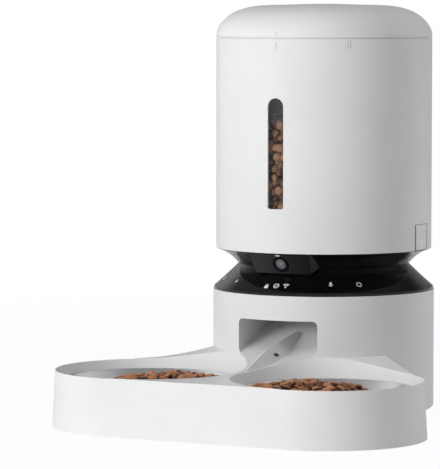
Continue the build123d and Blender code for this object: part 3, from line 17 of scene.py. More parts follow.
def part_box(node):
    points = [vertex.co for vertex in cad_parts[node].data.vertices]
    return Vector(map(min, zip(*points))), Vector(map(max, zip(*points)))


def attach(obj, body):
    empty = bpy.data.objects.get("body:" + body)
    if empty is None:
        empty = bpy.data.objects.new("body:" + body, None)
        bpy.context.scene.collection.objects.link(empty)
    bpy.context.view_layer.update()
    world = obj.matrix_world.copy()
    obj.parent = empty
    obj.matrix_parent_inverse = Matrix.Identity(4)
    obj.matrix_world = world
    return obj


bl_info = {
    "name": "Pet feeder looks",
    "version": (1, 0, 0),
    "blender": (4, 5, 0),
    "location": "3D View > Sidebar > Feeder",
    "description": "Materials, symbols, dry food, light and camera for a double-bowl pet feeder",
    "category": "Object",
}

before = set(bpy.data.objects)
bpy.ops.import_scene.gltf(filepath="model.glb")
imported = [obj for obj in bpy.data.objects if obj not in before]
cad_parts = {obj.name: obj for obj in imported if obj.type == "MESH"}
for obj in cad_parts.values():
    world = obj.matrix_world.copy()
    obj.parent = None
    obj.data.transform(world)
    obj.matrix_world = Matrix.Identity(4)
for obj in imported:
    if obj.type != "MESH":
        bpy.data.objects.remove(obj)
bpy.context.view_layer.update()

# The painted shade in a moulding's joints and holes, and on its side away from the light: how dark
# it is, as a share of the moulding's colour
PAINTED_SHADE_SHARE = 0.12

# The painted shade along a release tab's edges, in the joint round it: how far inwards it begins,
# and is full
TAB_EDGE_SHADE = (0.0020, 0.0007)

# The painted shade of the small hole in the splitter: how far out it is full dark, and has faded,
# and its flatness
SPLITTER_HOLE_SHADE = (0.0013, 0.0018)
HOLE_FLATNESS = 0.2

# Heaps of food. Depths and margins are in pellets, and the wall is a share of the bowl's rim.
HEAP_RINGS, HEAP_STEPS = 12, 44
HEAP_CURVE = 2.7
HEAP_WAVES = (0.0014, 0.0011)
BOWL_WALL_FOOT, BOWL_WALL_GAIN = 0.788, 0.157
BOWL_FLOOR, BED_LIFT = 0.001, 0.0008
BED_DEPTH, BED_MARGIN = 1.0, 0.75
LAYER_DEPTHS, LAYER_MARGIN = (0.30, 0.80), 0.55
LAYER_SPACING, LAYER_CLOSER = 0.84, 0.02
DENSEST = 500000.0

# Food in the hopper: two layers of pellets behind the window, one on top, and the bed under them
HOPPER_WALL, HOPPER_FOOT = 0.0926, 0.1868
HOPPER_HALF_ANGLE = math.radians(7.5)
HOPPER_MARGIN = 0.55
HOPPER_LAYERS, HOPPER_LAYER_DROP, HOPPER_SPACING = (0.0, 0.45), 0.002, 0.74
HOPPER_TOP_INSET, HOPPER_TOP_CROWN = 0.002, 0.005
HOPPER_TOP_DEPTH, HOPPER_TOP_SPACING = 0.3, 0.90
HOPPER_BED_INSET, HOPPER_BED_DROP = 0.9, 0.4

# The floor: its radius, how white the camera sees it, and how far out that rises to full white
FLOOR_RADIUS = 6.0
FLOOR_WHITE = 0.955
FLOOR_FADE = (0.45, 1.6)

# The lamps: name, place, width, height and the setting that holds the power
LAMPS = (
    ("key_lamp", (-1.25, -2.5, 0.45), 1.2, 0.9, "key"),
    ("rim_lamp", (1.3, 2.2, 0.8), 0.5, 1.8, "rim"),
    ("top_lamp", (0.1, -1.0, 2.6), 1.5, 1.5, "top"),
)
LAMP_TARGET = Vector((0.0, -0.05, 0.18))

# What gloss and glass see of the studio: its brightness low down and overhead, its share behind
# the feeder, and the parts of the way up and back over which each changes
LOW_GLOW, OVERHEAD_GLOW, BEHIND_SHARE = 0.95, 0.20, 0.25
OVERHEAD = (0.36, 0.56)
BEHIND = (0.35, 0.85)

# The camera, fitted to the photograph, in degrees and metres
CAMERA_SIDE, CAMERA_TURN, CAMERA_PITCH = 25.96, -1.95, -3.93
CAMERA_DISTANCE, CAMERA_HEIGHT = 2.78033, 0.35197

# A radius that is outside the whole tower, and how close two points are one
OUTSIDE = 0.2
SAME_POINT = 1e-7


# Node building

class Value:
    """A node's output that can be used in arithmetic, each operation adding one Math node."""

    def __init__(self, graph, socket):
        self.graph = graph
        self.socket = socket

    def output(self, name):
        """Another output of the same node."""
        return Value(self.graph, self.socket.node.outputs[name])

    def _math(self, operation, *terms):
        return self.graph.add("ShaderNodeMath", {"operation": operation}, dict(enumerate(terms)))

    def __add__(self, other):
        return self._math("ADD", self, other)

    __radd__ = __add__

    def __mul__(self, other):
        return self._math("MULTIPLY", self, other)

    __rmul__ = __mul__

    def __sub__(self, other):
        return self._math("SUBTRACT", self, other)

    def __rsub__(self, other):
        return self._math("SUBTRACT", other, self)

    def __truediv__(self, other):
        return self._math("DIVIDE", self, other)

    def __pow__(self, other):
        return self._math("POWER", self, other)

    def __abs__(self):
        return self._math("ABSOLUTE", self)

    def step(self, low, high, start=0.0, end=1.0, change="SMOOTHSTEP"):
        """start below low and end above high, with a smooth or LINEAR change between them."""
        return self.graph.add(
            "ShaderNodeMapRange", {"interpolation_type": change},
            {"Value": self, "From Min": low, "From Max": high, "To Min": start, "To Max": end},
        )


def away(x, y):
    """The distance of a point in a plane from the origin, as a value."""
    return (x * x + y * y) ** 0.5


class Graph:
    """A node tree, built node by node."""

    def __init__(self, tree):
        self.tree = tree

    def add(self, kind, settings=None, sockets=None, output=0):
        """Adds a node: its settings first, then its sockets' values or links."""
        node = self.tree.nodes.new(kind)
        for key, value in (settings or {}).items():
            setattr(node, key, value)
        for key, value in (sockets or {}).items():
            self.feed(node.inputs[key], value)
        return Value(self, node.outputs[output])

    def feed(self, socket, value):
        """Links a socket to a value, or sets it to a number, colour or vector."""
        if isinstance(value, Value):
            self.tree.links.new(value.socket, socket)
        elif socket.type == "RGBA" and len(value) == 3:
            socket.default_value = (*value, 1.0)
        else:
            socket.default_value = value


class Finish(Graph):
    """A material with a Principled surface."""

    def __init__(self, name, **constants):
        self.material = bpy.data.materials.new(name)
        self.material.use_nodes = True
        super().__init__(self.material.node_tree)
        self.surface = self.tree.nodes["Principled BSDF"]
        for socket, value in constants.items():
            self.set(socket.replace("_", " "), value)

    def set(self, socket, value):
        """Feeds a socket of the surface."""
        self.feed(self.surface.inputs[socket], value)

    def place(self):
        return self.add("ShaderNodeTexCoord", output="Object")

    def axes(self, centre=(0.0, 0.0, 0.0)):
        """Object coordinates from a centre, as three values."""
        moved = self.add(
            "ShaderNodeVectorMath", {"operation": "SUBTRACT"}, {0: self.place(), 1: centre},
        )
        split = self.add("ShaderNodeSeparateXYZ", sockets={0: moved})
        return [split.output(name) for name in "XYZ"]

    def noise(self, scale, detail=2.0, roughness=0.5, distortion=0.0, vector=None):
        """Noise with scale waves to the metre, or to the unit of the vector."""
        return self.add(
            "ShaderNodeTexNoise", {},
            {"Vector": vector or self.place(), "Scale": scale, "Detail": detail,
             "Roughness": roughness, "Distortion": distortion},
        )

    def combine(self, x, y, z):
        return self.add("ShaderNodeCombineXYZ", sockets={0: x, 1: y, 2: z})

    def mix(self, factor, first, second):
        """A colour between the first and the second."""
        return self.add(
            "ShaderNodeMix", {"data_type": "RGBA"}, {"Factor": factor, 6: first, 7: second},
            output=2,
        )

    def bump(self, height, distance, strength=1.0):
        self.set("Normal", self.add(
            "ShaderNodeBump",
            sockets={"Strength": strength, "Distance": distance, "Height": height},
        ))


# Finishes

def tint(colour, share):
    """A colour made darker, or paler where the share is over 1."""
    return tuple(max(0.0, min(1.0, c * share)) for c in colour)


def moulded(name, colour, roughness, grain=0.00003, scale=1500.0, level=0.5, painted_shade=None):
    """Moulded plastic: a fine spark-eroded grain, faint flow marks and uneven gloss.

    grain is the grain's depth, scale its fineness and level the specular level. The function given
    last gives, from the finish, the share of painted shade, which darkens joints, holes and the
    side away from the light."""
    finish = Finish(name, Specular_IOR_Level=level, IOR=1.5)
    flow = finish.noise(14.0, detail=3.0, roughness=0.55)
    skin = finish.mix(flow.step(0.35, 0.7), tint(colour, 0.97), colour)
    # Painted shade: where the given function says, the skin darkens towards a small share of its
    # colour, in joints, holes and on the side away from the light.
    if painted_shade:
        skin = finish.mix(painted_shade(finish), skin, tint(colour, PAINTED_SHADE_SHARE))
    finish.set("Base Color", skin)
    fine = finish.noise(scale, roughness=0.6)
    cloud = finish.noise(38.0, detail=4.0, roughness=0.6)
    finish.set("Roughness", cloud.step(0.3, 0.75, roughness - 0.05, roughness + 0.06))
    finish.bump(fine, grain)
    return finish.material


def gloss_black(name, colour, roughness):
    """Polished black plastic: a mirror skin with light wiping marks and a little dust."""
    finish = Finish(name, IOR=1.5, Specular_IOR_Level=0.36, Coat_Roughness=0.03)
    wipe = finish.noise(30.0, detail=5.0, roughness=0.65, distortion=1.2)
    dust = finish.noise(2600.0, detail=0.0).step(0.74, 0.80)
    finish.set("Base Color", finish.mix(dust * 0.35, colour, (0.05, 0.05, 0.052)))
    finish.set("Roughness", wipe.step(0.35, 0.8, roughness, roughness + 0.06) + dust * 0.2)
    finish.set("Coat Weight", wipe.step(0.3, 0.7, 0.25, 0.15))
    finish.bump(finish.noise(60.0, detail=1.0), 0.00002)
    return finish.material


def spun_steel(name, colour, centre, roughness):
    """Stainless steel polished on a lathe: fine rings about its centre, and a soft cloudiness."""
    rings_per_metre = 2600.0
    finish = Finish(name, Metallic=1.0, IOR=2.2)
    x, y, z = finish.axes(centre)
    path = finish.combine(away(x, y) * rings_per_metre, z * rings_per_metre, 0.0)
    lines = finish.noise(1.0, detail=3.0, roughness=0.7, vector=path)
    cloud = finish.noise(55.0, detail=3.0, roughness=0.6)
    finish.set("Base Color", finish.mix(cloud.step(0.3, 0.7), tint(colour, 0.93), colour))
    finish.set("Roughness", lines.step(0.25, 0.75, roughness - 0.05, roughness + 0.08)
               + cloud.step(0.4, 0.8, 0.0, 0.05))
    finish.bump(lines, 0.00001, strength=0.6)
    return finish.material


def machined(name, colour, roughness):
    """Turned or stamped metal of the inner parts, with tool lines and stains."""
    finish = Finish(name, Metallic=1.0)
    stain = finish.noise(90.0, detail=4.0, roughness=0.6)
    x, y, z = finish.axes()
    stretched = finish.combine(x * 200.0, y * 200.0, z * 4000.0)
    lines = finish.noise(1.0, roughness=0.6, vector=stretched)
    finish.set("Base Color", finish.mix(stain.step(0.35, 0.75), tint(colour, 0.82), colour))
    finish.set("Roughness", lines.step(0.2, 0.8, roughness - 0.06, roughness + 0.1))
    finish.bump(lines, 0.00002, strength=0.5)
    return finish.material


def soft(name, colour, roughness):
    """Rubber and silicone: a dull skin with a fine cast grain and lint."""
    finish = Finish(name, Specular_IOR_Level=0.35)
    lint = finish.noise(420.0, detail=6.0, roughness=0.7)
    finish.set("Base Color", finish.mix(lint.step(0.45, 0.8), colour, tint(colour, 1.15)))
    finish.set("Roughness", lint.step(0.2, 0.8, roughness - 0.06, roughness + 0.06))
    finish.bump(finish.noise(900.0, detail=3.0, roughness=0.6), 0.00006)
    return finish.material


def clear(name, colour, alpha, upper_alpha, level, roughness=0.05):
    """Tinted clear plastic. Its alpha is alpha up to the food's level, and the next argument above
    that.
    """
    film_fade = 0.004
    finish = Finish(name, Specular_IOR_Level=0.08)
    haze = finish.noise(36.0, detail=4.0, roughness=0.6)
    finish.set("Base Color", finish.mix(haze.step(0.3, 0.7), colour, tint(colour, 1.2)))
    _, _, z = finish.axes()
    film = z.step(level - film_fade, level + film_fade, alpha, upper_alpha)
    finish.set("Alpha", film * haze.step(0.3, 0.8, 0.9, 1.1))
    finish.set("Roughness", haze.step(0.3, 0.8, roughness, roughness + 0.05))
    return finish.material


def circuit(name, colour):
    """A circuit board: solder mask with copper runs under it and pale solder dots."""
    finish = Finish(name)
    x, _, z = finish.axes()
    cells = finish.add(
        "ShaderNodeTexVoronoi", {"distance": "CHEBYCHEV"},
        {"Vector": finish.place(), "Scale": 420.0, "Randomness": 0.7},
    )
    runs = finish.add(
        "ShaderNodeTexBrick", {},
        {"Vector": finish.combine(x * 240.0, z * 240.0, 0.0), "Scale": 1.0, "Mortar Size": 0.06},
        output="Fac",
    )
    mask = finish.mix(runs, colour, tint(colour, 1.8))
    dots = cells.step(0.10, 0.13, 1.0, 0.0)
    finish.set("Base Color", finish.mix(dots, mask, (0.55, 0.55, 0.50)))
    finish.set("Roughness", dots * 0.2 + 0.3)
    finish.bump(dots, 0.0001, strength=0.5)
    return finish.material


def cell_sleeve(name, colour):
    """The batteries' printed sleeve, with a copper band round one end."""
    band_edge, copper = 0.018, (0.42, 0.24, 0.10)
    finish = Finish(name, Specular_IOR_Level=0.6)
    x, _, _ = finish.axes()
    scuff = finish.noise(160.0, detail=5.0, roughness=0.7).step(0.62, 0.8)
    body = finish.mix(x.step(band_edge, band_edge + 0.0002), colour, copper)
    finish.set("Base Color", finish.mix(scuff * 0.4, body, (0.35, 0.35, 0.36)))
    finish.set("Roughness", scuff * 0.2 + 0.3)
    return finish.material


def paper(name, colour):
    """Crinkled fibre paper of the desiccant bag."""
    finish = Finish(name, Specular_IOR_Level=0.2, Roughness=0.9)
    fibre = finish.noise(1400.0, detail=6.0, roughness=0.75, distortion=2.0)
    crease = finish.noise(120.0, detail=3.0)
    finish.set("Base Color", finish.mix(fibre.step(0.4, 0.7), tint(colour, 0.86), colour))
    finish.bump(crease + fibre * 0.2, 0.0008, strength=0.6)
    return finish.material


def baked_food(name, colour, underside_shade):
    """Dry food: each pellet has its own tone and a porous baked crust, and is paler on its crown,
    with painted shade on its underside.

    The last argument is the brightness of the pellets' painted underside shade, as a share of the
    darkest tone."""
    finish = Finish(name, Specular_IOR_Level=0.42)
    tone = finish.add("ShaderNodeAttribute", {"attribute_name": "tone"}, output="Fac")
    crown = finish.add("ShaderNodeAttribute", {"attribute_name": "crown"}, output="Fac")
    light = tuple(c * share for c, share in zip(colour, (2.3, 2.8, 3.1)))
    dark = tint(colour, 0.40)
    pores = finish.noise(900.0, detail=5.0, roughness=0.7)
    crust = finish.noise(260.0, detail=3.0, roughness=0.6)
    body = finish.mix(tone.step(0.1, 0.9), dark, light)
    body = finish.mix(crust.step(0.35, 0.7, 0.0, 0.25), body, tint(colour, 1.4))
    # Painted shade: below the crown a pellet darkens to the underside shade, and a bed with no
    # crown takes it all.
    body = finish.mix(crown.step(0.05, 0.42), tint(dark, underside_shade), body)
    body = finish.mix(pores.step(0.55, 0.75, 0.0, 0.6), body, tint(dark, 0.7))
    finish.set("Base Color", body)
    finish.set("Roughness", pores.step(0.3, 0.7, 0.30, 0.5))
    finish.bump(crust * 0.7 + pores * 0.3, 0.0007, strength=0.9)
    return finish.material


def lens_glass(name, centre, radius):
    """Coated lens: dark at the rim, a blue-grey iris and a small bright core."""
    core, iris_colour, deep_colour = (0.30, 0.34, 0.42), (0.16, 0.18, 0.21), (0.075, 0.083, 0.10)
    rim_colour = (0.008, 0.008, 0.010)
    finish = Finish(name, Specular_IOR_Level=0.6, Coat_Weight=0.3, Coat_Roughness=0.02)
    x, _, z = finish.axes(centre)
    ring = away(x, z) / radius
    deep = finish.mix(ring.step(0.60, 0.85), iris_colour, deep_colour)
    iris = finish.mix(ring.step(0.10, 0.24), core, deep)
    finish.set("Base Color", finish.mix(ring.step(0.93, 1.0), iris, rim_colour))
    finish.set("Roughness", ring.step(0.3, 0.9, 0.12, 0.05))
    return finish.material


# Sizes and colours

COLOUR = {"subtype": "COLOR", "size": 3, "min": 0.0, "max": 1.0}
LENGTH = {"unit": "LENGTH"}
FACTOR = {"subtype": "FACTOR"}
POWER = {"unit": "POWER", "min": 0.0, "max": 500.0}


class FeederLook(PropertyGroup):
    """Colours and gloss of the feeder's own pieces."""

    white: FloatVectorProperty(
        name="Shell white", description="Colour of the outer mouldings",
        default=(0.82, 0.82, 0.82), **COLOUR)
    white_gloss: FloatProperty(
        name="Shell roughness", description="Roughness of the outer mouldings",
        min=0.05, max=1.0, default=0.38, **FACTOR)
    inner_white: FloatVectorProperty(
        name="Inner white", description="Colour of the mouldings inside",
        default=(0.70, 0.71, 0.71), **COLOUR)
    black: FloatVectorProperty(
        name="Waist black", description="Colour of the polished waist",
        default=(0.003, 0.003, 0.0035), **COLOUR)
    panel: FloatVectorProperty(
        name="Camera panel", description="Colour of the satin panel round the lens",
        default=(0.045, 0.045, 0.047), **COLOUR)
    steel: FloatVectorProperty(
        name="Bowl steel", description="Colour of the bowls' steel",
        default=(0.68, 0.68, 0.69), **COLOUR)
    steel_gloss: FloatProperty(
        name="Bowl roughness", description="Roughness of the bowls' steel",
        min=0.05, max=1.0, default=0.20, **FACTOR)
    smoke: FloatVectorProperty(
        name="Smoke tint", description="Colour of the clear food bin and window",
        default=(0.20, 0.205, 0.21), **COLOUR)
    # Where the painted shade of the small hole through the splitter is centred.
    splitter_hole_shade: FloatVectorProperty(
        name="Splitter hole", description="Y and Z of the small dark hole through the splitter",
        subtype="TRANSLATION", size=2, default=(-0.1079, 0.0614), **LENGTH)


class FeederFood(PropertyGroup):
    """Dry food in the bowls and in the hopper."""

    colour: FloatVectorProperty(
        name="Colour", description="Middle colour of the pellets",
        default=(0.26, 0.092, 0.038), **COLOUR)
    # The same food as in the bowls, painted darker and less red, as painted shade inside the
    # hopper.
    shaded_stored_colour: FloatVectorProperty(
        name="Stored colour", description="Middle colour of the pellets behind the smoked window",
        default=(0.15, 0.068, 0.032), **COLOUR)
    pellet: FloatProperty(
        name="Pellet size", description="Width of a middling pellet",
        min=0.003, max=0.02, default=0.0080, **LENGTH)
    flatness: FloatProperty(
        name="Flatness", description="A pellet's thickness as a share of its width",
        min=0.2, max=1.0, default=0.68, **FACTOR)
    spread: FloatProperty(
        name="Size spread", description="How far pellets differ in size, as a share",
        min=0.0, max=0.6, default=0.2, **FACTOR)
    heap_radius: FloatProperty(
        name="Heap radius", description="Radius of the heap in each bowl",
        min=0.02, max=0.075, default=0.066, **LENGTH)
    heap_top: FloatProperty(
        name="Heap top", description="Height of the heap's top over the floor",
        min=0.02, max=0.06, default=0.0462, **LENGTH)
    heap_edge: FloatProperty(
        name="Heap edge", description="Height of the heap's edge over the floor",
        min=0.012, max=0.045, default=0.0330, **LENGTH)
    heap_shift: FloatProperty(
        name="Heap shift", description="How far each heap lies towards the chute",
        min=0.0, max=0.03, default=0.021, **LENGTH)
    hopper_level: FloatProperty(
        name="Hopper level", description="Height of the food in the hopper over the floor",
        min=0.2, max=0.31, default=0.265, **LENGTH)
    seed: IntProperty(
        name="Seed", description="Number that fixes how the pellets lie",
        min=0, max=999, default=7)


class FeederMarks(PropertyGroup):
    """Symbols on the waist and guide marks on the shells."""

    symbol_size: FloatProperty(
        name="Symbol size", description="Height of a touch symbol along the cone",
        min=0.002, max=0.012, default=0.0062, **LENGTH)
    symbol_colour: FloatVectorProperty(
        name="Symbol colour", description="Colour of the printed symbols",
        default=(0.85, 0.85, 0.86), **COLOUR)
    guide_length: FloatProperty(
        name="Guide mark length", description="Length of a guide mark on lid and hopper",
        min=0.002, max=0.015, default=0.0068, **LENGTH)
    guide_width: FloatProperty(
        name="Guide mark width", description="Width of a guide mark",
        min=0.0002, max=0.002, default=0.0006, **LENGTH)
    # The guide marks are engraved grooves; their grey is painted shade of the grooves.
    guide_shade_colour: FloatVectorProperty(
        name="Guide mark colour", description="Colour of the guide marks",
        default=(0.50, 0.50, 0.50), **COLOUR)
    thickness: FloatProperty(
        name="Print thickness", description="How far a printed mark stands proud",
        min=0.00002, max=0.0005, default=0.00006, **LENGTH)


class FeederStage(PropertyGroup):
    """Floor, lamps and camera."""

    floor_colour: FloatVectorProperty(
        name="Floor colour", description="Colour of the floor",
        default=(0.92, 0.92, 0.92), **COLOUR)
    ambient: FloatProperty(
        name="Ambient", description="Strength of the light from all round",
        min=0.0, max=3.0, default=0.28)
    key: FloatProperty(
        name="Key lamp", description="Power of the large lamp at the front left",
        default=43.5, **POWER)
    rim: FloatProperty(
        name="Rim lamp", description="Power of the tall lamp behind on the right",
        default=20.0, **POWER)
    top: FloatProperty(
        name="Top lamp", description="Power of the wide lamp overhead",
        default=17.0, **POWER)
    lens: FloatProperty(
        name="Lens", description="The camera's focal length in millimetres",
        min=20.0, max=400.0, default=234.36)


# Mesh helpers

def mesh_of(name, bm):
    mesh = bpy.data.meshes.new(name)
    bm.to_mesh(mesh)
    bm.free()
    return mesh


def linked(name, data):
    """A new object in the scene, at the origin."""
    obj = bpy.data.objects.new(name, data)
    bpy.context.scene.collection.objects.link(obj)
    return obj


def add_piece(name, mesh, body):
    """Adds a finished mesh as a piece that rides on a body."""
    obj = linked(name, mesh)
    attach(obj, body)


def piece(name, bm, material, body, smooth=True):
    """Turns a bmesh into a finished piece that rides on a body."""
    mesh = mesh_of(name, bm)
    mesh.materials.append(material)
    mesh.polygons.foreach_set("use_smooth", [smooth] * len(mesh.polygons))
    add_piece(name, mesh, body)


def surface_of(node):
    """A search tree of a CAD node's surface, for placing pieces on it."""
    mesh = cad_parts[node].data
    return BVHTree.FromPolygons(
        [v.co.copy() for v in mesh.vertices], [list(p.vertices) for p in mesh.polygons],
    )


def around(angle, radius, height):
    """A point on the tower: angle 0 is the front and turns towards the right."""
    return Vector((radius * math.sin(angle), -radius * math.cos(angle), height))


def on_tower(surface, angle, height):
    """The tower's outer surface at an angle and height, and the way that it faces."""
    outside = around(angle, OUTSIDE, height)
    out = around(angle, 1.0, 0.0)
    point, normal, _, _ = surface.ray_cast(outside, -out)
    if point is None:
        raise RuntimeError(f"no surface at {math.degrees(angle):.1f} degrees, height {height:.4f}")
    return point, normal if normal.dot(out) > 0 else -normal


def give_material(material, *nodes):
    """Makes a material the only one of each CAD node."""
    for name in nodes:
        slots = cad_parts[name].data.materials
        slots.clear()
        slots.append(material)


# Flat shapes of the printed marks, as lists of quads in a square of side 1

def band(x, y, inner, outer, start=0.0, end=360.0, steps=20):
    """Part of a ring, or of a disc where inner is 0."""
    def at(radius, k):
        angle = math.radians(start + (end - start) * k / steps)
        return x + radius * math.cos(angle), y + radius * math.sin(angle)

    return [
        [at(inner, k), at(outer, k), at(outer, k + 1), at(inner, k + 1)] for k in range(steps)
    ]


def stroke(x0, y0, x1, y1, width):
    length = math.hypot(x1 - x0, y1 - y0)
    u, v = (y0 - y1) / length * width / 2, (x1 - x0) / length * width / 2
    return [[(x0 + u, y0 + v), (x0 - u, y0 - v), (x1 - u, y1 - v), (x1 + u, y1 + v)]]


def padlock():
    return (
        stroke(-0.30, -0.18, 0.30, -0.18, 0.50) + band(0.0, 0.10, 0.16, 0.26, 0.0, 180.0, 10)
        + stroke(-0.21, 0.10, -0.21, 0.06, 0.10) + stroke(0.21, 0.10, 0.21, 0.06, 0.10)
    )


def crossed_ring():
    return band(0.0, 0.0, 0.33, 0.45) + stroke(-0.22, -0.22, 0.22, 0.22, 0.11)


def radio_waves():
    return (
        band(0.0, -0.34, 0.62, 0.74, 48.0, 132.0, 10)
        + band(0.0, -0.34, 0.36, 0.48, 48.0, 132.0, 8)
        + band(0.0, -0.30, 0.0, 0.13, 0.0, 360.0, 10)
    )


def microphone():
    return (
        stroke(0.0, -0.02, 0.0, 0.30, 0.30) + band(0.0, 0.30, 0.0, 0.15, 0.0, 180.0, 8)
        + band(0.0, -0.02, 0.0, 0.15, 180.0, 360.0, 8)
        + band(0.0, 0.0, 0.24, 0.32, 190.0, 350.0, 12)
        + stroke(0.0, -0.30, 0.0, -0.44, 0.09)
    )


def turning_arrow():
    return (
        band(0.0, 0.0, 0.30, 0.41, -50.0, 100.0, 14) + band(0.0, 0.0, 0.30, 0.41, 130.0, 280.0, 14)
        + [[(-0.04, 0.20), (-0.04, 0.52), (-0.20, 0.36), (-0.20, 0.36)]]
        + [[(0.04, -0.52), (0.04, -0.20), (0.20, -0.36), (0.20, -0.36)]]
    )


def droplet():
    return (
        band(0.0, -0.10, 0.0, 0.26, 0.0, 360.0, 14)
        + [[(-0.24, -0.02), (0.24, -0.02), (0.03, 0.44), (-0.03, 0.44)]]
    )


def upright_line(width):
    """A line in short lengths, so that it follows a curved shell."""
    lengths = 6
    ends = [k / lengths - 0.5 for k in range(lengths + 1)]
    return [stroke(0.0, low, 0.0, high, width)[0] for low, high in zip(ends, ends[1:])]


def press_arrow():
    return (
        [[(-0.5, -0.30), (0.5, -0.30), (0.06, 0.42), (-0.06, 0.42)]]
        + stroke(-0.5, -0.62, 0.5, -0.62, 0.2)
    )


# Where the marks stand. Angles are in degrees from the front towards the right, and a share is
# of the size that is set for all marks of the kind.

CONE_SLOPE = math.sin(math.radians(42))
SYMBOLS = (
    # name, shape, angle, height, share
    ("lock_symbol", padlock, -6.8, 0.1205, 1.0),
    ("ring_symbol", crossed_ring, -0.9, 0.1210, 1.0),
    ("radio_symbol", radio_waves, 4.9, 0.1213, 1.0),
    ("speak_symbol", microphone, 29.9, 0.1230, 1.0),
    ("turn_symbol", turning_arrow, 46.1, 0.1226, 1.0),
    ("battery_symbol", droplet, -32.5, 0.1223, 0.8),
    ("power_symbol", crossed_ring, -53.4, 0.1224, 0.8),
)
GUIDES = (
    # name, node that carries it, body, angle, height, share
    ("lid_guide", "lid_cover", "lid", 0.5, 0.3438, 0.6),
    ("open_guide", "hopper_shell", "hopper", 0.5, 0.3335, 1.0),
    ("lock_guide_a", "hopper_shell", "hopper", 38.4, 0.3345, 1.0),
    ("lock_guide_b", "hopper_shell", "hopper", 39.7, 0.3345, 1.0),
)
# The press marks on the release tabs are embossed; here they are printed near white, as a painted
# highlight on the embossing.
PRESS_ANGLE, PRESS_HEIGHT, PRESS_SIZE = 89.7, 0.1575, 0.0075
PRESS_HIGHLIGHT = (0.95, 0.95, 0.95)


def print_mark(name, quads, surface, angle, height, size, ink, body, slope=1.0):
    """Prints a flat shape on the tower, as thin quads half sunk in it that ride on a body.

    angle is in degrees, and slope is the height gained per unit of the shape's y."""
    thickness = bpy.context.scene.feeder_marks.thickness
    turn = math.radians(angle)
    bm = bmesh.new()
    for quad in quads:
        skins = []
        for out in (thickness, -thickness):
            ring = []
            for x, y in quad:
                z = height + y * size * slope
                point, _ = on_tower(surface, turn, z)
                radius = math.hypot(point.x, point.y)
                place, normal = on_tower(surface, turn + x * size / radius, z)
                ring.append(bm.verts.new(place + normal * out))
            skins.append(ring)
        top, bottom = skins
        bm.faces.new(top)
        bm.faces.new(bottom[::-1])
        for i in range(4):
            bm.faces.new([top[i], bottom[i], bottom[i - 3], top[i - 3]])
    bmesh.ops.remove_doubles(bm, verts=bm.verts, dist=SAME_POINT)
    bmesh.ops.dissolve_degenerate(bm, edges=bm.edges, dist=SAME_POINT)
    bmesh.ops.recalc_face_normals(bm, faces=bm.faces)
    piece(name, bm, ink, body, smooth=False)


# Food

PELLET_INPUTS = {
    "Pellet Size": "Float", "Flatness": "Float", "Size Spread": "Float", "Spacing": "Float",
    "Seed": "Int",
}


def pellet_tree(material):
    """Geometry nodes that strew pellets over a surface."""
    tree = bpy.data.node_groups.new(f"strewn_{material.name}", "GeometryNodeTree")
    face = tree.interface
    for name, kind in {"Geometry": "Geometry", **PELLET_INPUTS}.items():
        face.new_socket(name, in_out="INPUT", socket_type=f"NodeSocket{kind}")
    face.new_socket("Geometry", in_out="OUTPUT", socket_type="NodeSocketGeometry")

    graph = Graph(tree)
    given = graph.add("NodeGroupInput")
    pellet, flatness, spread, spacing, seed = map(given.output, PELLET_INPUTS)

    def store(geometry, domain, name, value):
        return graph.add(
            "GeometryNodeStoreNamedAttribute", {"data_type": "FLOAT", "domain": domain},
            {"Geometry": geometry, "Name": name, "Value": value},
        )

    def chance(low, high):
        """A number for each pellet. Sockets 2 and 3 and output 1 are the node's float ones."""
        return graph.add("FunctionNodeRandomValue", {"data_type": "FLOAT"},
                         {2: low, 3: high, "Seed": seed}, output=1)

    ball = graph.add("GeometryNodeMeshIcoSphere", {}, {"Radius": 0.5, "Subdivisions": 2})
    lump = graph.add("ShaderNodeTexNoise", {}, {"Scale": 1.7, "Detail": 1.0}, output="Color")
    push = graph.add("ShaderNodeVectorMath", {"operation": "SCALE"}, {0: lump, "Scale": 0.22})
    shaped = graph.add("GeometryNodeSetPosition", {}, {"Geometry": ball, "Offset": push})
    place = graph.add("GeometryNodeInputPosition")
    # Each point's height in the pellet is kept as crown, for the painted shade on the pellets'
    # undersides.
    height = graph.add("ShaderNodeSeparateXYZ", {}, {0: place}, output="Z")
    smooth = graph.add("GeometryNodeSetShadeSmooth", {},
                       {"Geometry": store(shaped, "POINT", "crown", height), "Shade Smooth": True})

    points = graph.add(
        "GeometryNodeDistributePointsOnFaces", {"distribute_method": "POISSON"},
        {"Mesh": given, "Distance Min": pellet * spacing, "Density Max": DENSEST, "Seed": seed},
        output="Points",
    )
    width = pellet * chance(1.0 - spread, 1.0 + spread)
    size = graph.add("ShaderNodeCombineXYZ", {}, {0: width, 1: width, 2: width * flatness})
    strewn = graph.add(
        "GeometryNodeInstanceOnPoints", {},
        {"Points": points, "Instance": smooth, "Scale": size,
         "Rotation": points.output("Rotation")},
    )
    turn = graph.add("FunctionNodeRandomValue", {"data_type": "FLOAT_VECTOR"},
                     {"Min": (-0.6, -0.6, 0.0), "Max": (0.6, 0.6, 6.283), "Seed": seed})
    rolled = graph.add("GeometryNodeRotateInstances", {},
                       {"Instances": strewn, "Rotation": turn, "Local Space": True})
    toned = store(rolled, "INSTANCE", "tone", chance(0.0, 1.0))
    real = graph.add("GeometryNodeRealizeInstances", {}, {"Geometry": toned})
    dressed = graph.add("GeometryNodeSetMaterial", {}, {"Geometry": real, "Material": material})
    graph.feed(tree.nodes.new("NodeGroupOutput").inputs["Geometry"], dressed)
    return tree


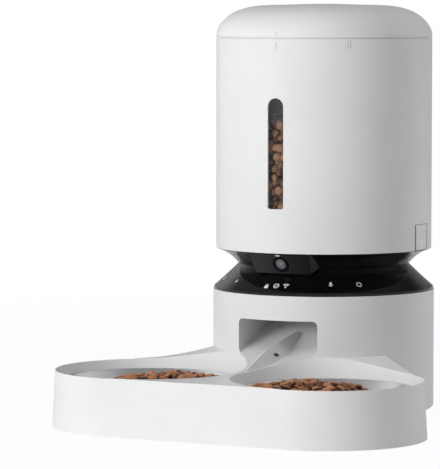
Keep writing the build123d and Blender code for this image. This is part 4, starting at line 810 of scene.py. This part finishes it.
def strew(name, bm, tree, body, food, spacing, seed):
    """Runs the pellet tree over a surface and keeps the result as a plain mesh."""
    carrier = linked(f"{name}_surface", mesh_of(f"{name}_surface", bm))
    modifier = carrier.modifiers.new("pellets", "NODES")
    modifier.node_group = tree
    sockets = {s.name: s.identifier for s in tree.interface.items_tree if s.in_out == "INPUT"}
    settings = (food.pellet, food.flatness, food.spread, spacing, seed)
    for socket, value in zip(PELLET_INPUTS, settings):
        modifier[sockets[socket]] = value
    done = carrier.evaluated_get(bpy.context.evaluated_depsgraph_get())
    pellets = bpy.data.meshes.new_from_object(done)
    pellets.name = name
    bpy.data.objects.remove(carrier)
    add_piece(name, pellets, body)


def heap(centre, radius, top, edge, drop, limit=None, foot=None):
    """A mounded surface of food, lowered by drop, that stays inside limit(x, y, z).

    foot closes it underneath at that height, as a solid bed."""
    bm = bmesh.new()
    rows = []
    for i in range(1, HEAP_RINGS + 1):
        share = i / HEAP_RINGS
        row = []
        for k in range(HEAP_STEPS):
            a = 2 * math.pi * k / HEAP_STEPS
            uneven = (HEAP_WAVES[0] * math.sin(3 * a + 5 * share)
                      + HEAP_WAVES[1] * math.cos(5 * a - 7 * share))
            z = edge + (top - edge) * (1 - share ** HEAP_CURVE) + uneven * share - drop
            x = centre[0] + radius * share * math.cos(a)
            y = centre[1] + radius * share * math.sin(a)
            if limit:
                x, y = limit(x, y, z)
            row.append(bm.verts.new((x, y, z)))
        rows.append(row)
    middle = bm.verts.new((centre[0], centre[1], top - drop))
    for k in range(HEAP_STEPS):
        after = (k + 1) % HEAP_STEPS
        bm.faces.new([middle, rows[0][k], rows[0][after]])
        for low, high in zip(rows, rows[1:]):
            bm.faces.new([low[k], high[k], high[after], low[after]])
    if foot is not None:
        rim = rows[-1]
        base = [bm.verts.new((v.co.x, v.co.y, foot)) for v in rim]
        for k in range(HEAP_STEPS):
            after = (k + 1) % HEAP_STEPS
            bm.faces.new([rim[k], base[k], base[after], rim[after]])
        bm.faces.new(base[::-1])
        bmesh.ops.recalc_face_normals(bm, faces=bm.faces)
    return bm


def bowl_centre(side):
    low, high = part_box(f"{side}_bowl")
    return (low.x + high.x) / 2, (low.y + high.y) / 2


def bowl_limit(side, margin):
    """Keeps a point of the heap inside a bowl's sloping wall."""
    x0, y0 = bowl_centre(side)
    low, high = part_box(f"{side}_bowl")
    rim = (high.x - low.x) / 2

    def limit(x, y, z):
        wall = BOWL_WALL_FOOT + BOWL_WALL_GAIN * (z - low.z) / (high.z - low.z)
        reach = math.hypot(x - x0, y - y0)
        share = min(1.0, (rim * wall - margin) / max(reach, 1e-6))
        return x0 + (x - x0) * share, y0 + (y - y0) * share

    return limit


def wall_patch(radius, half_angle, low, high):
    """A strip of the hopper's inner wall at its front, facing outwards."""
    columns, rows = 12, 20
    bm = bmesh.new()
    grid = []
    for k in range(rows + 1):
        z = low + (high - low) * k / rows
        angles = [-half_angle + 2 * half_angle * i / columns for i in range(columns + 1)]
        grid.append([bm.verts.new(around(angle, radius, z)) for angle in angles])
    for lower, upper in zip(grid, grid[1:]):
        for i in range(columns):
            bm.faces.new([lower[i], lower[i + 1], upper[i + 1], upper[i]])
    return bm


def drum(radius, low, high):
    """A plain closed drum on the tower's axis."""
    bm = bmesh.new()
    bmesh.ops.create_cone(
        bm, cap_ends=True, segments=96, radius1=radius, radius2=radius, depth=high - low,
    )
    bmesh.ops.translate(bm, verts=bm.verts, vec=(0, 0, (low + high) / 2))
    return bm


# Operators

class FEEDER_OT_shells(Operator):
    """Give the white mouldings, outside and inside, their plastic"""

    bl_idname = "feeder.shells"
    bl_label = "Finish the white mouldings"

    def execute(self, context):
        look = context.scene.feeder_look
        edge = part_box("right_release_tab")[1].y

        # Painted shade: a dark band along the tab's side edges, standing for the shade in the
        # joint round the tab.
        def tab_edge_shade(finish):
            _, y, _ = finish.axes()
            return abs(y).step(edge - TAB_EDGE_SHADE[0], edge - TAB_EDGE_SHADE[1])

        # Painted shade: a dark spot round the small hole through the splitter, standing for the
        # shade inside it.
        def splitter_hole_shade(finish):
            _, y, z = finish.axes((0.0, *look.splitter_hole_shade))
            return ((y * y * HOLE_FLATNESS + z * z) ** 0.5).step(*SPLITTER_HOLE_SHADE, 1.0, 0.0)

        for name, painted_shade, nodes in (
            ("white_moulding", None, ("base_shell", "bottom_plate", "battery_door",
                                      "hopper_shell", "lid_cover", "tray", "chute")),
            ("tab_moulding", tab_edge_shade, ("left_release_tab", "right_release_tab")),
            ("splitter_moulding", splitter_hole_shade, ("splitter",)),
        ):
            give_material(moulded(name, look.white, look.white_gloss, painted_shade=painted_shade), *nodes)
        inner = moulded("inner_moulding", look.inner_white, 0.5, grain=0.00005)
        give_material(inner, "deck_plate", "dosing_cup", "hopper_floor", "lid_plate",
                      "desiccant_cap")
        return {"FINISHED"}


class FEEDER_OT_waist(Operator):
    """Polish the black waist and dress the camera"""

    bl_idname = "feeder.waist"
    bl_label = "Finish the waist and camera"

    def execute(self, context):
        look = context.scene.feeder_look
        half_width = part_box("camera_panel")[1].x

        # Painted shade: the camera panel darkens from its left edge to its right, the side away
        # from the key lamp.
        def painted_side_shade(finish):
            x, _, _ = finish.axes()
            return x.step(-half_width, half_width, 0.0, 0.85)

        give_material(gloss_black("polished_black", look.black, 0.045), "control_ring", "collar")
        for name, colour, roughness, level, painted_shade, nodes in (
            ("satin_panel", look.panel, 0.42, 0.15, painted_side_shade, ("camera_panel",)),
            ("satin_housing", look.panel, 0.3, 0.4, None, ("camera_housing",)),
            ("matt_black", look.black, 0.4, 0.2, None, ("lens_ring", "camera_barrel")),
        ):
            give_material(moulded(name, colour, roughness, grain=0.00002, level=level,
                                  painted_shade=painted_shade), *nodes)
        low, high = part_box("camera_lens")
        centre = tuple((a + b) / 2 for a, b in zip(low, high))
        give_material(lens_glass("lens_coating", centre, (high.x - low.x) / 2), "camera_lens")
        give_material(moulded("status_window", (0.62, 0.66, 0.70), 0.25, scale=900.0),
                      "status_light")
        give_material(circuit("camera_circuit", (0.02, 0.10, 0.05)), "camera_board")
        return {"FINISHED"}


class FEEDER_OT_clear_parts(Operator):
    """Tint the food bin and the window pane"""

    bl_idname = "feeder.clear_parts"
    bl_label = "Finish the clear parts"

    def execute(self, context):
        smoke = context.scene.feeder_look.smoke
        level = context.scene.feeder_food.hopper_level
        give_material(clear("smoked_bin", smoke, 0.02, 0.05, level, 0.12), "food_bin")
        give_material(clear("window_tint", smoke, 0.03, 0.13, level), "window_pane")
        return {"FINISHED"}


class FEEDER_OT_bowls(Operator):
    """Polish the two steel bowls"""

    bl_idname = "feeder.bowls"
    bl_label = "Finish the bowls"

    def execute(self, context):
        look = context.scene.feeder_look
        for side in ("left", "right"):
            centre = (*bowl_centre(side), 0.0)
            steel = spun_steel(f"{side}_bowl_steel", look.steel, centre, look.steel_gloss)
            give_material(steel, f"{side}_bowl")
        return {"FINISHED"}


class FEEDER_OT_works(Operator):
    """Give the drive, the electronics, the cells and the seals their own finishes"""

    bl_idname = "feeder.works"
    bl_label = "Finish the working parts"

    def execute(self, context):
        for material, nodes in (
            (machined("zinc_steel", (0.50, 0.50, 0.52), 0.35),
             ("base_screws", "deck_screws", "lid_screws", "drive_bracket", "gear_motor")),
            (machined("ground_steel", (0.58, 0.58, 0.60), 0.22),
             ("wheel_shaft", "motor_shaft", "tab_pins")),
            (machined("spring_wire", (0.42, 0.42, 0.45), 0.3),
             ("tab_springs", "reset_spring", "battery_contacts")),
            (machined("bearing_brass", (0.60, 0.42, 0.16), 0.3),
             ("shaft_bush", "motor_pinion")),
            (moulded("acetal_gear", (0.72, 0.70, 0.60), 0.4),
             ("wheel_gear",)),
            (moulded("black_moulding", (0.02, 0.02, 0.022), 0.5, grain=0.00005),
             ("battery_box", "speaker", "power_socket", "reset_button", "reset_switch",
              "food_sensors")),
            (circuit("main_circuit", (0.01, 0.085, 0.035)),
             ("main_board", "power_board")),
            (cell_sleeve("cell_sleeve", (0.012, 0.013, 0.016)),
             ("battery_1", "battery_2", "battery_3")),
            (soft("foot_rubber", (0.035, 0.035, 0.036), 0.8),
             ("foot_ring", "tray_feet")),
            (soft("white_silicone", (0.66, 0.66, 0.64), 0.6),
             ("cup_seal", "lid_seal", "dosing_wheel")),
            (paper("bag_paper", (0.72, 0.72, 0.68)),
             ("desiccant_bag",)),
        ):
            give_material(material, *nodes)
        return {"FINISHED"}


class FEEDER_OT_symbols(Operator):
    """Print the touch symbols on the lower cone of the waist"""

    bl_idname = "feeder.symbols"
    bl_label = "Print the symbols"

    def execute(self, context):
        marks = context.scene.feeder_marks
        ink = moulded("symbol_ink", marks.symbol_colour, 0.5, grain=0.00001)
        cone = surface_of("control_ring")
        for name, shape, angle, height, share in SYMBOLS:
            print_mark(name, shape(), cone, angle, height, marks.symbol_size * share, ink, "base",
                       slope=CONE_SLOPE)
        return {"FINISHED"}


class FEEDER_OT_guides(Operator):
    """Mark where the lid locks, and where the release tabs are pressed"""

    bl_idname = "feeder.guides"
    bl_label = "Add the guide marks"

    def execute(self, context):
        marks = context.scene.feeder_marks
        # Painted shade: the guide marks are grey prints standing for the shade in engraved
        # grooves.
        grey = moulded("guide_grey", marks.guide_shade_colour, 0.5, grain=0.00001)
        line = upright_line(marks.guide_width / marks.guide_length)
        for name, node, body, angle, height, share in GUIDES:
            print_mark(name, line, surface_of(node), angle, height, marks.guide_length * share,
                       grey, body)
        # Painted highlight: each press mark is a pale print standing for the light on an embossed
        # mark.
        pale = moulded("press_mark_ink", PRESS_HIGHLIGHT, 0.4, grain=0.00001)
        for side, angle in (("left", -PRESS_ANGLE), ("right", PRESS_ANGLE)):
            print_mark(f"{side}_press_mark", press_arrow(), surface_of(f"{side}_release_tab"),
                       angle, PRESS_HEIGHT, PRESS_SIZE, pale, f"{side}_release")
        return {"FINISHED"}


class FEEDER_OT_food(Operator):
    """Fill the bowls and the hopper with dry food"""

    bl_idname = "feeder.food"
    bl_label = "Add the dry food"

    def execute(self, context):
        food = context.scene.feeder_food
        self.fill_bowls(food, baked_food("baked_crust", food.colour, 0.45))
        # The hopper's food is a shaded copy of the bowls' food: darker as painted shade, with
        # paler undersides, as the hopper's own shadow darkens them.
        self.fill_hopper(food, baked_food("stored_crust", food.shaded_stored_colour, 2.6))
        return {"FINISHED"}

    def fill_bowls(self, food, crust):
        """A closed bed in each bowl, and two layers of pellets over it."""
        tree = pellet_tree(crust)
        for number, side in enumerate(("left", "right")):
            x, y = bowl_centre(side)
            centre = (x - math.copysign(food.heap_shift, x), y)
            mound = (centre, food.heap_radius, food.heap_top, food.heap_edge)
            body = f"{side}_dish"
            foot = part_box(f"{side}_bowl")[0].z + BOWL_FLOOR + BED_LIFT
            # The bed is food under the pellets; with no tone or crown, it takes the painted
            # underside shade, as painted shade in the gaps between the pellets.
            bed = heap(*mound, food.pellet * BED_DEPTH,
                       bowl_limit(side, food.pellet * BED_MARGIN), foot)
            piece(f"{side}_food_bed", bed, crust, body)
            limit = bowl_limit(side, food.pellet * LAYER_MARGIN)
            for layer, depth in enumerate(LAYER_DEPTHS):
                strew(f"{side}_food_{layer}", heap(*mound, food.pellet * depth, limit), tree, body,
                      food, LAYER_SPACING - LAYER_CLOSER * layer, food.seed + 10 * number + layer)

    def fill_hopper(self, food, crust):
        """Pellets behind the window and on top, over a closed bed on the tower's axis."""
        tree = pellet_tree(crust)
        pellet, level = food.pellet, food.hopper_level
        radius = HOPPER_WALL - pellet * food.flatness * HOPPER_MARGIN
        for layer, back in enumerate(HOPPER_LAYERS):
            patch = wall_patch(radius - back * pellet, HOPPER_HALF_ANGLE, HOPPER_FOOT,
                               level - HOPPER_LAYER_DROP * layer)
            strew(f"hopper_food_{layer}", patch, tree, "hopper", food, HOPPER_SPACING,
                  food.seed + 40 + layer)
        crown = heap((0.0, 0.0), radius - HOPPER_TOP_INSET, level + HOPPER_TOP_CROWN, level,
                     pellet * HOPPER_TOP_DEPTH)
        strew("hopper_food_top", crown, tree, "hopper", food, HOPPER_TOP_SPACING, food.seed + 50)
        # This bed too takes the painted underside shade, as painted shade in the gaps between the
        # pellets.
        bed = drum(radius - HOPPER_BED_INSET * pellet, HOPPER_FOOT,
                   level - pellet * HOPPER_BED_DROP)
        piece("hopper_food_bed", bed, crust, "hopper")


class FEEDER_OT_stage(Operator):
    """Lay the floor, hang the lamps and set up the camera"""

    bl_idname = "feeder.stage"
    bl_label = "Set the stage"

    def execute(self, context):
        stage = context.scene.feeder_stage
        self.floor(stage)
        self.world(context.scene, stage)
        self.lamps(stage)
        self.camera(context.scene, stage)
        return {"FINISHED"}

    def floor(self, stage):
        """Pale paper that keeps the feeder's shadow and fades to white away from it."""
        finish = Finish("floor_paper", Roughness=0.95, Specular_IOR_Level=0.1)
        speck = finish.noise(60.0, detail=4.0, roughness=0.6).step(0.4, 0.6)
        colour = stage.floor_colour
        finish.set("Base Color", finish.mix(speck, tint(colour, 0.99), colour))
        x, y, _ = finish.axes()
        far = away(x, y).step(*FLOOR_FADE)
        seen = finish.add("ShaderNodeLightPath", output="Is Camera Ray")
        glow = finish.add("ShaderNodeEmission", {}, {"Color": (1.0, 1.0, 1.0), "Strength": 1.0})
        blend = finish.add("ShaderNodeMixShader", sockets={
            0: seen * far.step(0.0, 1.0, FLOOR_WHITE, 1.0),
            1: Value(finish, finish.surface.outputs[0]), 2: glow,
        })
        finish.feed(finish.tree.nodes["Material Output"].inputs["Surface"], blend)
        bm = bmesh.new()
        bmesh.ops.create_circle(bm, cap_ends=True, segments=96, radius=FLOOR_RADIUS)
        mesh = mesh_of("studio_floor", bm)
        mesh.materials.append(finish.material)
        floor = linked("studio_floor", mesh)

    def world(self, scene, stage):
        """White to the camera, even light on the feeder, and a shaded studio in its gloss."""
        world = bpy.data.worlds.new("studio")
        world.use_nodes = True
        scene.world = world
        graph = Graph(world.node_tree)
        way = graph.add("ShaderNodeTexCoord", output="Generated")
        split = graph.add("ShaderNodeSeparateXYZ", sockets={0: way})
        overhead = split.output("Z").step(*OVERHEAD, LOW_GLOW, OVERHEAD_GLOW, "LINEAR")
        behind = split.output("Y").step(*BEHIND, 1.0, BEHIND_SHARE, "LINEAR")
        path = graph.add("ShaderNodeLightPath")
        mirrored = graph.add(
            "ShaderNodeMath", {"operation": "MAXIMUM"},
            {0: path.output("Is Glossy Ray"), 1: path.output("Is Transmission Ray")},
        )
        glow = graph.add(
            "ShaderNodeMix", {}, {0: mirrored, 2: stage.ambient, 3: overhead * behind},
        )
        light = graph.add(
            "ShaderNodeMix", {}, {0: path.output("Is Camera Ray"), 2: glow, 3: 1.0},
        )
        back = world.node_tree.nodes["Background"]
        graph.feed(back.inputs["Color"], (1.0, 1.0, 1.0))
        graph.feed(back.inputs["Strength"], light)

    def lamps(self, stage):
        for name, place, width, height, power in LAMPS:
            light = bpy.data.lights.new(name, "AREA")
            light.shape = "RECTANGLE"
            light.size, light.size_y = width, height
            light.energy = getattr(stage, power)
            lamp = linked(name, light)
            lamp.location = place
            aim = LAMP_TARGET - Vector(place)
            lamp.rotation_euler = aim.to_track_quat("-Z", "Y").to_euler()
            lamp.visible_glossy = False

    def camera(self, scene, stage):
        side, turn, pitch = (math.radians(a) for a in (CAMERA_SIDE, CAMERA_TURN, CAMERA_PITCH))
        ahead = Vector((-math.sin(side), math.cos(side), 0.0))
        right = Vector((math.cos(side), math.sin(side), 0.0))
        level = ahead * math.cos(turn) + right * math.sin(turn)
        aim = level * math.cos(pitch) + Vector((0.0, 0.0, math.sin(pitch)))
        data = bpy.data.cameras.new("camera")
        data.lens = stage.lens
        camera = linked("camera", data)
        camera.location = -ahead * CAMERA_DISTANCE + Vector((0.0, 0.0, CAMERA_HEIGHT))
        camera.rotation_euler = aim.to_track_quat("-Z", "Y").to_euler()
        scene.camera = camera
        scene.view_settings.view_transform = "Standard"


STEPS = (
    FEEDER_OT_stage, FEEDER_OT_shells, FEEDER_OT_waist, FEEDER_OT_clear_parts, FEEDER_OT_bowls,
    FEEDER_OT_works, FEEDER_OT_symbols, FEEDER_OT_guides, FEEDER_OT_food,
)
GROUPS = {
    "feeder_look": FeederLook, "feeder_food": FeederFood,
    "feeder_marks": FeederMarks, "feeder_stage": FeederStage,
}


class FEEDER_PT_panel(Panel):
    """Sizes, colours and steps of the feeder's looks"""

    bl_label = "Pet feeder"
    bl_idname = "FEEDER_PT_panel"
    bl_space_type = "VIEW_3D"
    bl_region_type = "UI"
    bl_category = "Feeder"

    def draw(self, context):
        for name in GROUPS:
            group = getattr(context.scene, name)
            box = self.layout.box()
            for setting in group.__annotations__:
                box.prop(group, setting)
        for step in STEPS:
            self.layout.operator(step.bl_idname)


def register():
    for group in (*GROUPS.values(), *STEPS, FEEDER_PT_panel):
        bpy.utils.register_class(group)
    for name, group in GROUPS.items():
        setattr(Scene, name, PointerProperty(type=group))


def unregister():
    for name in GROUPS:
        delattr(Scene, name)
    for group in (FEEDER_PT_panel, *reversed(STEPS), *reversed(GROUPS.values())):
        bpy.utils.unregister_class(group)


def main():
    register()
    for step in STEPS:
        family, action = step.bl_idname.split(".")
        getattr(getattr(bpy.ops, family), action)()


if __name__ == "__main__":
    main()
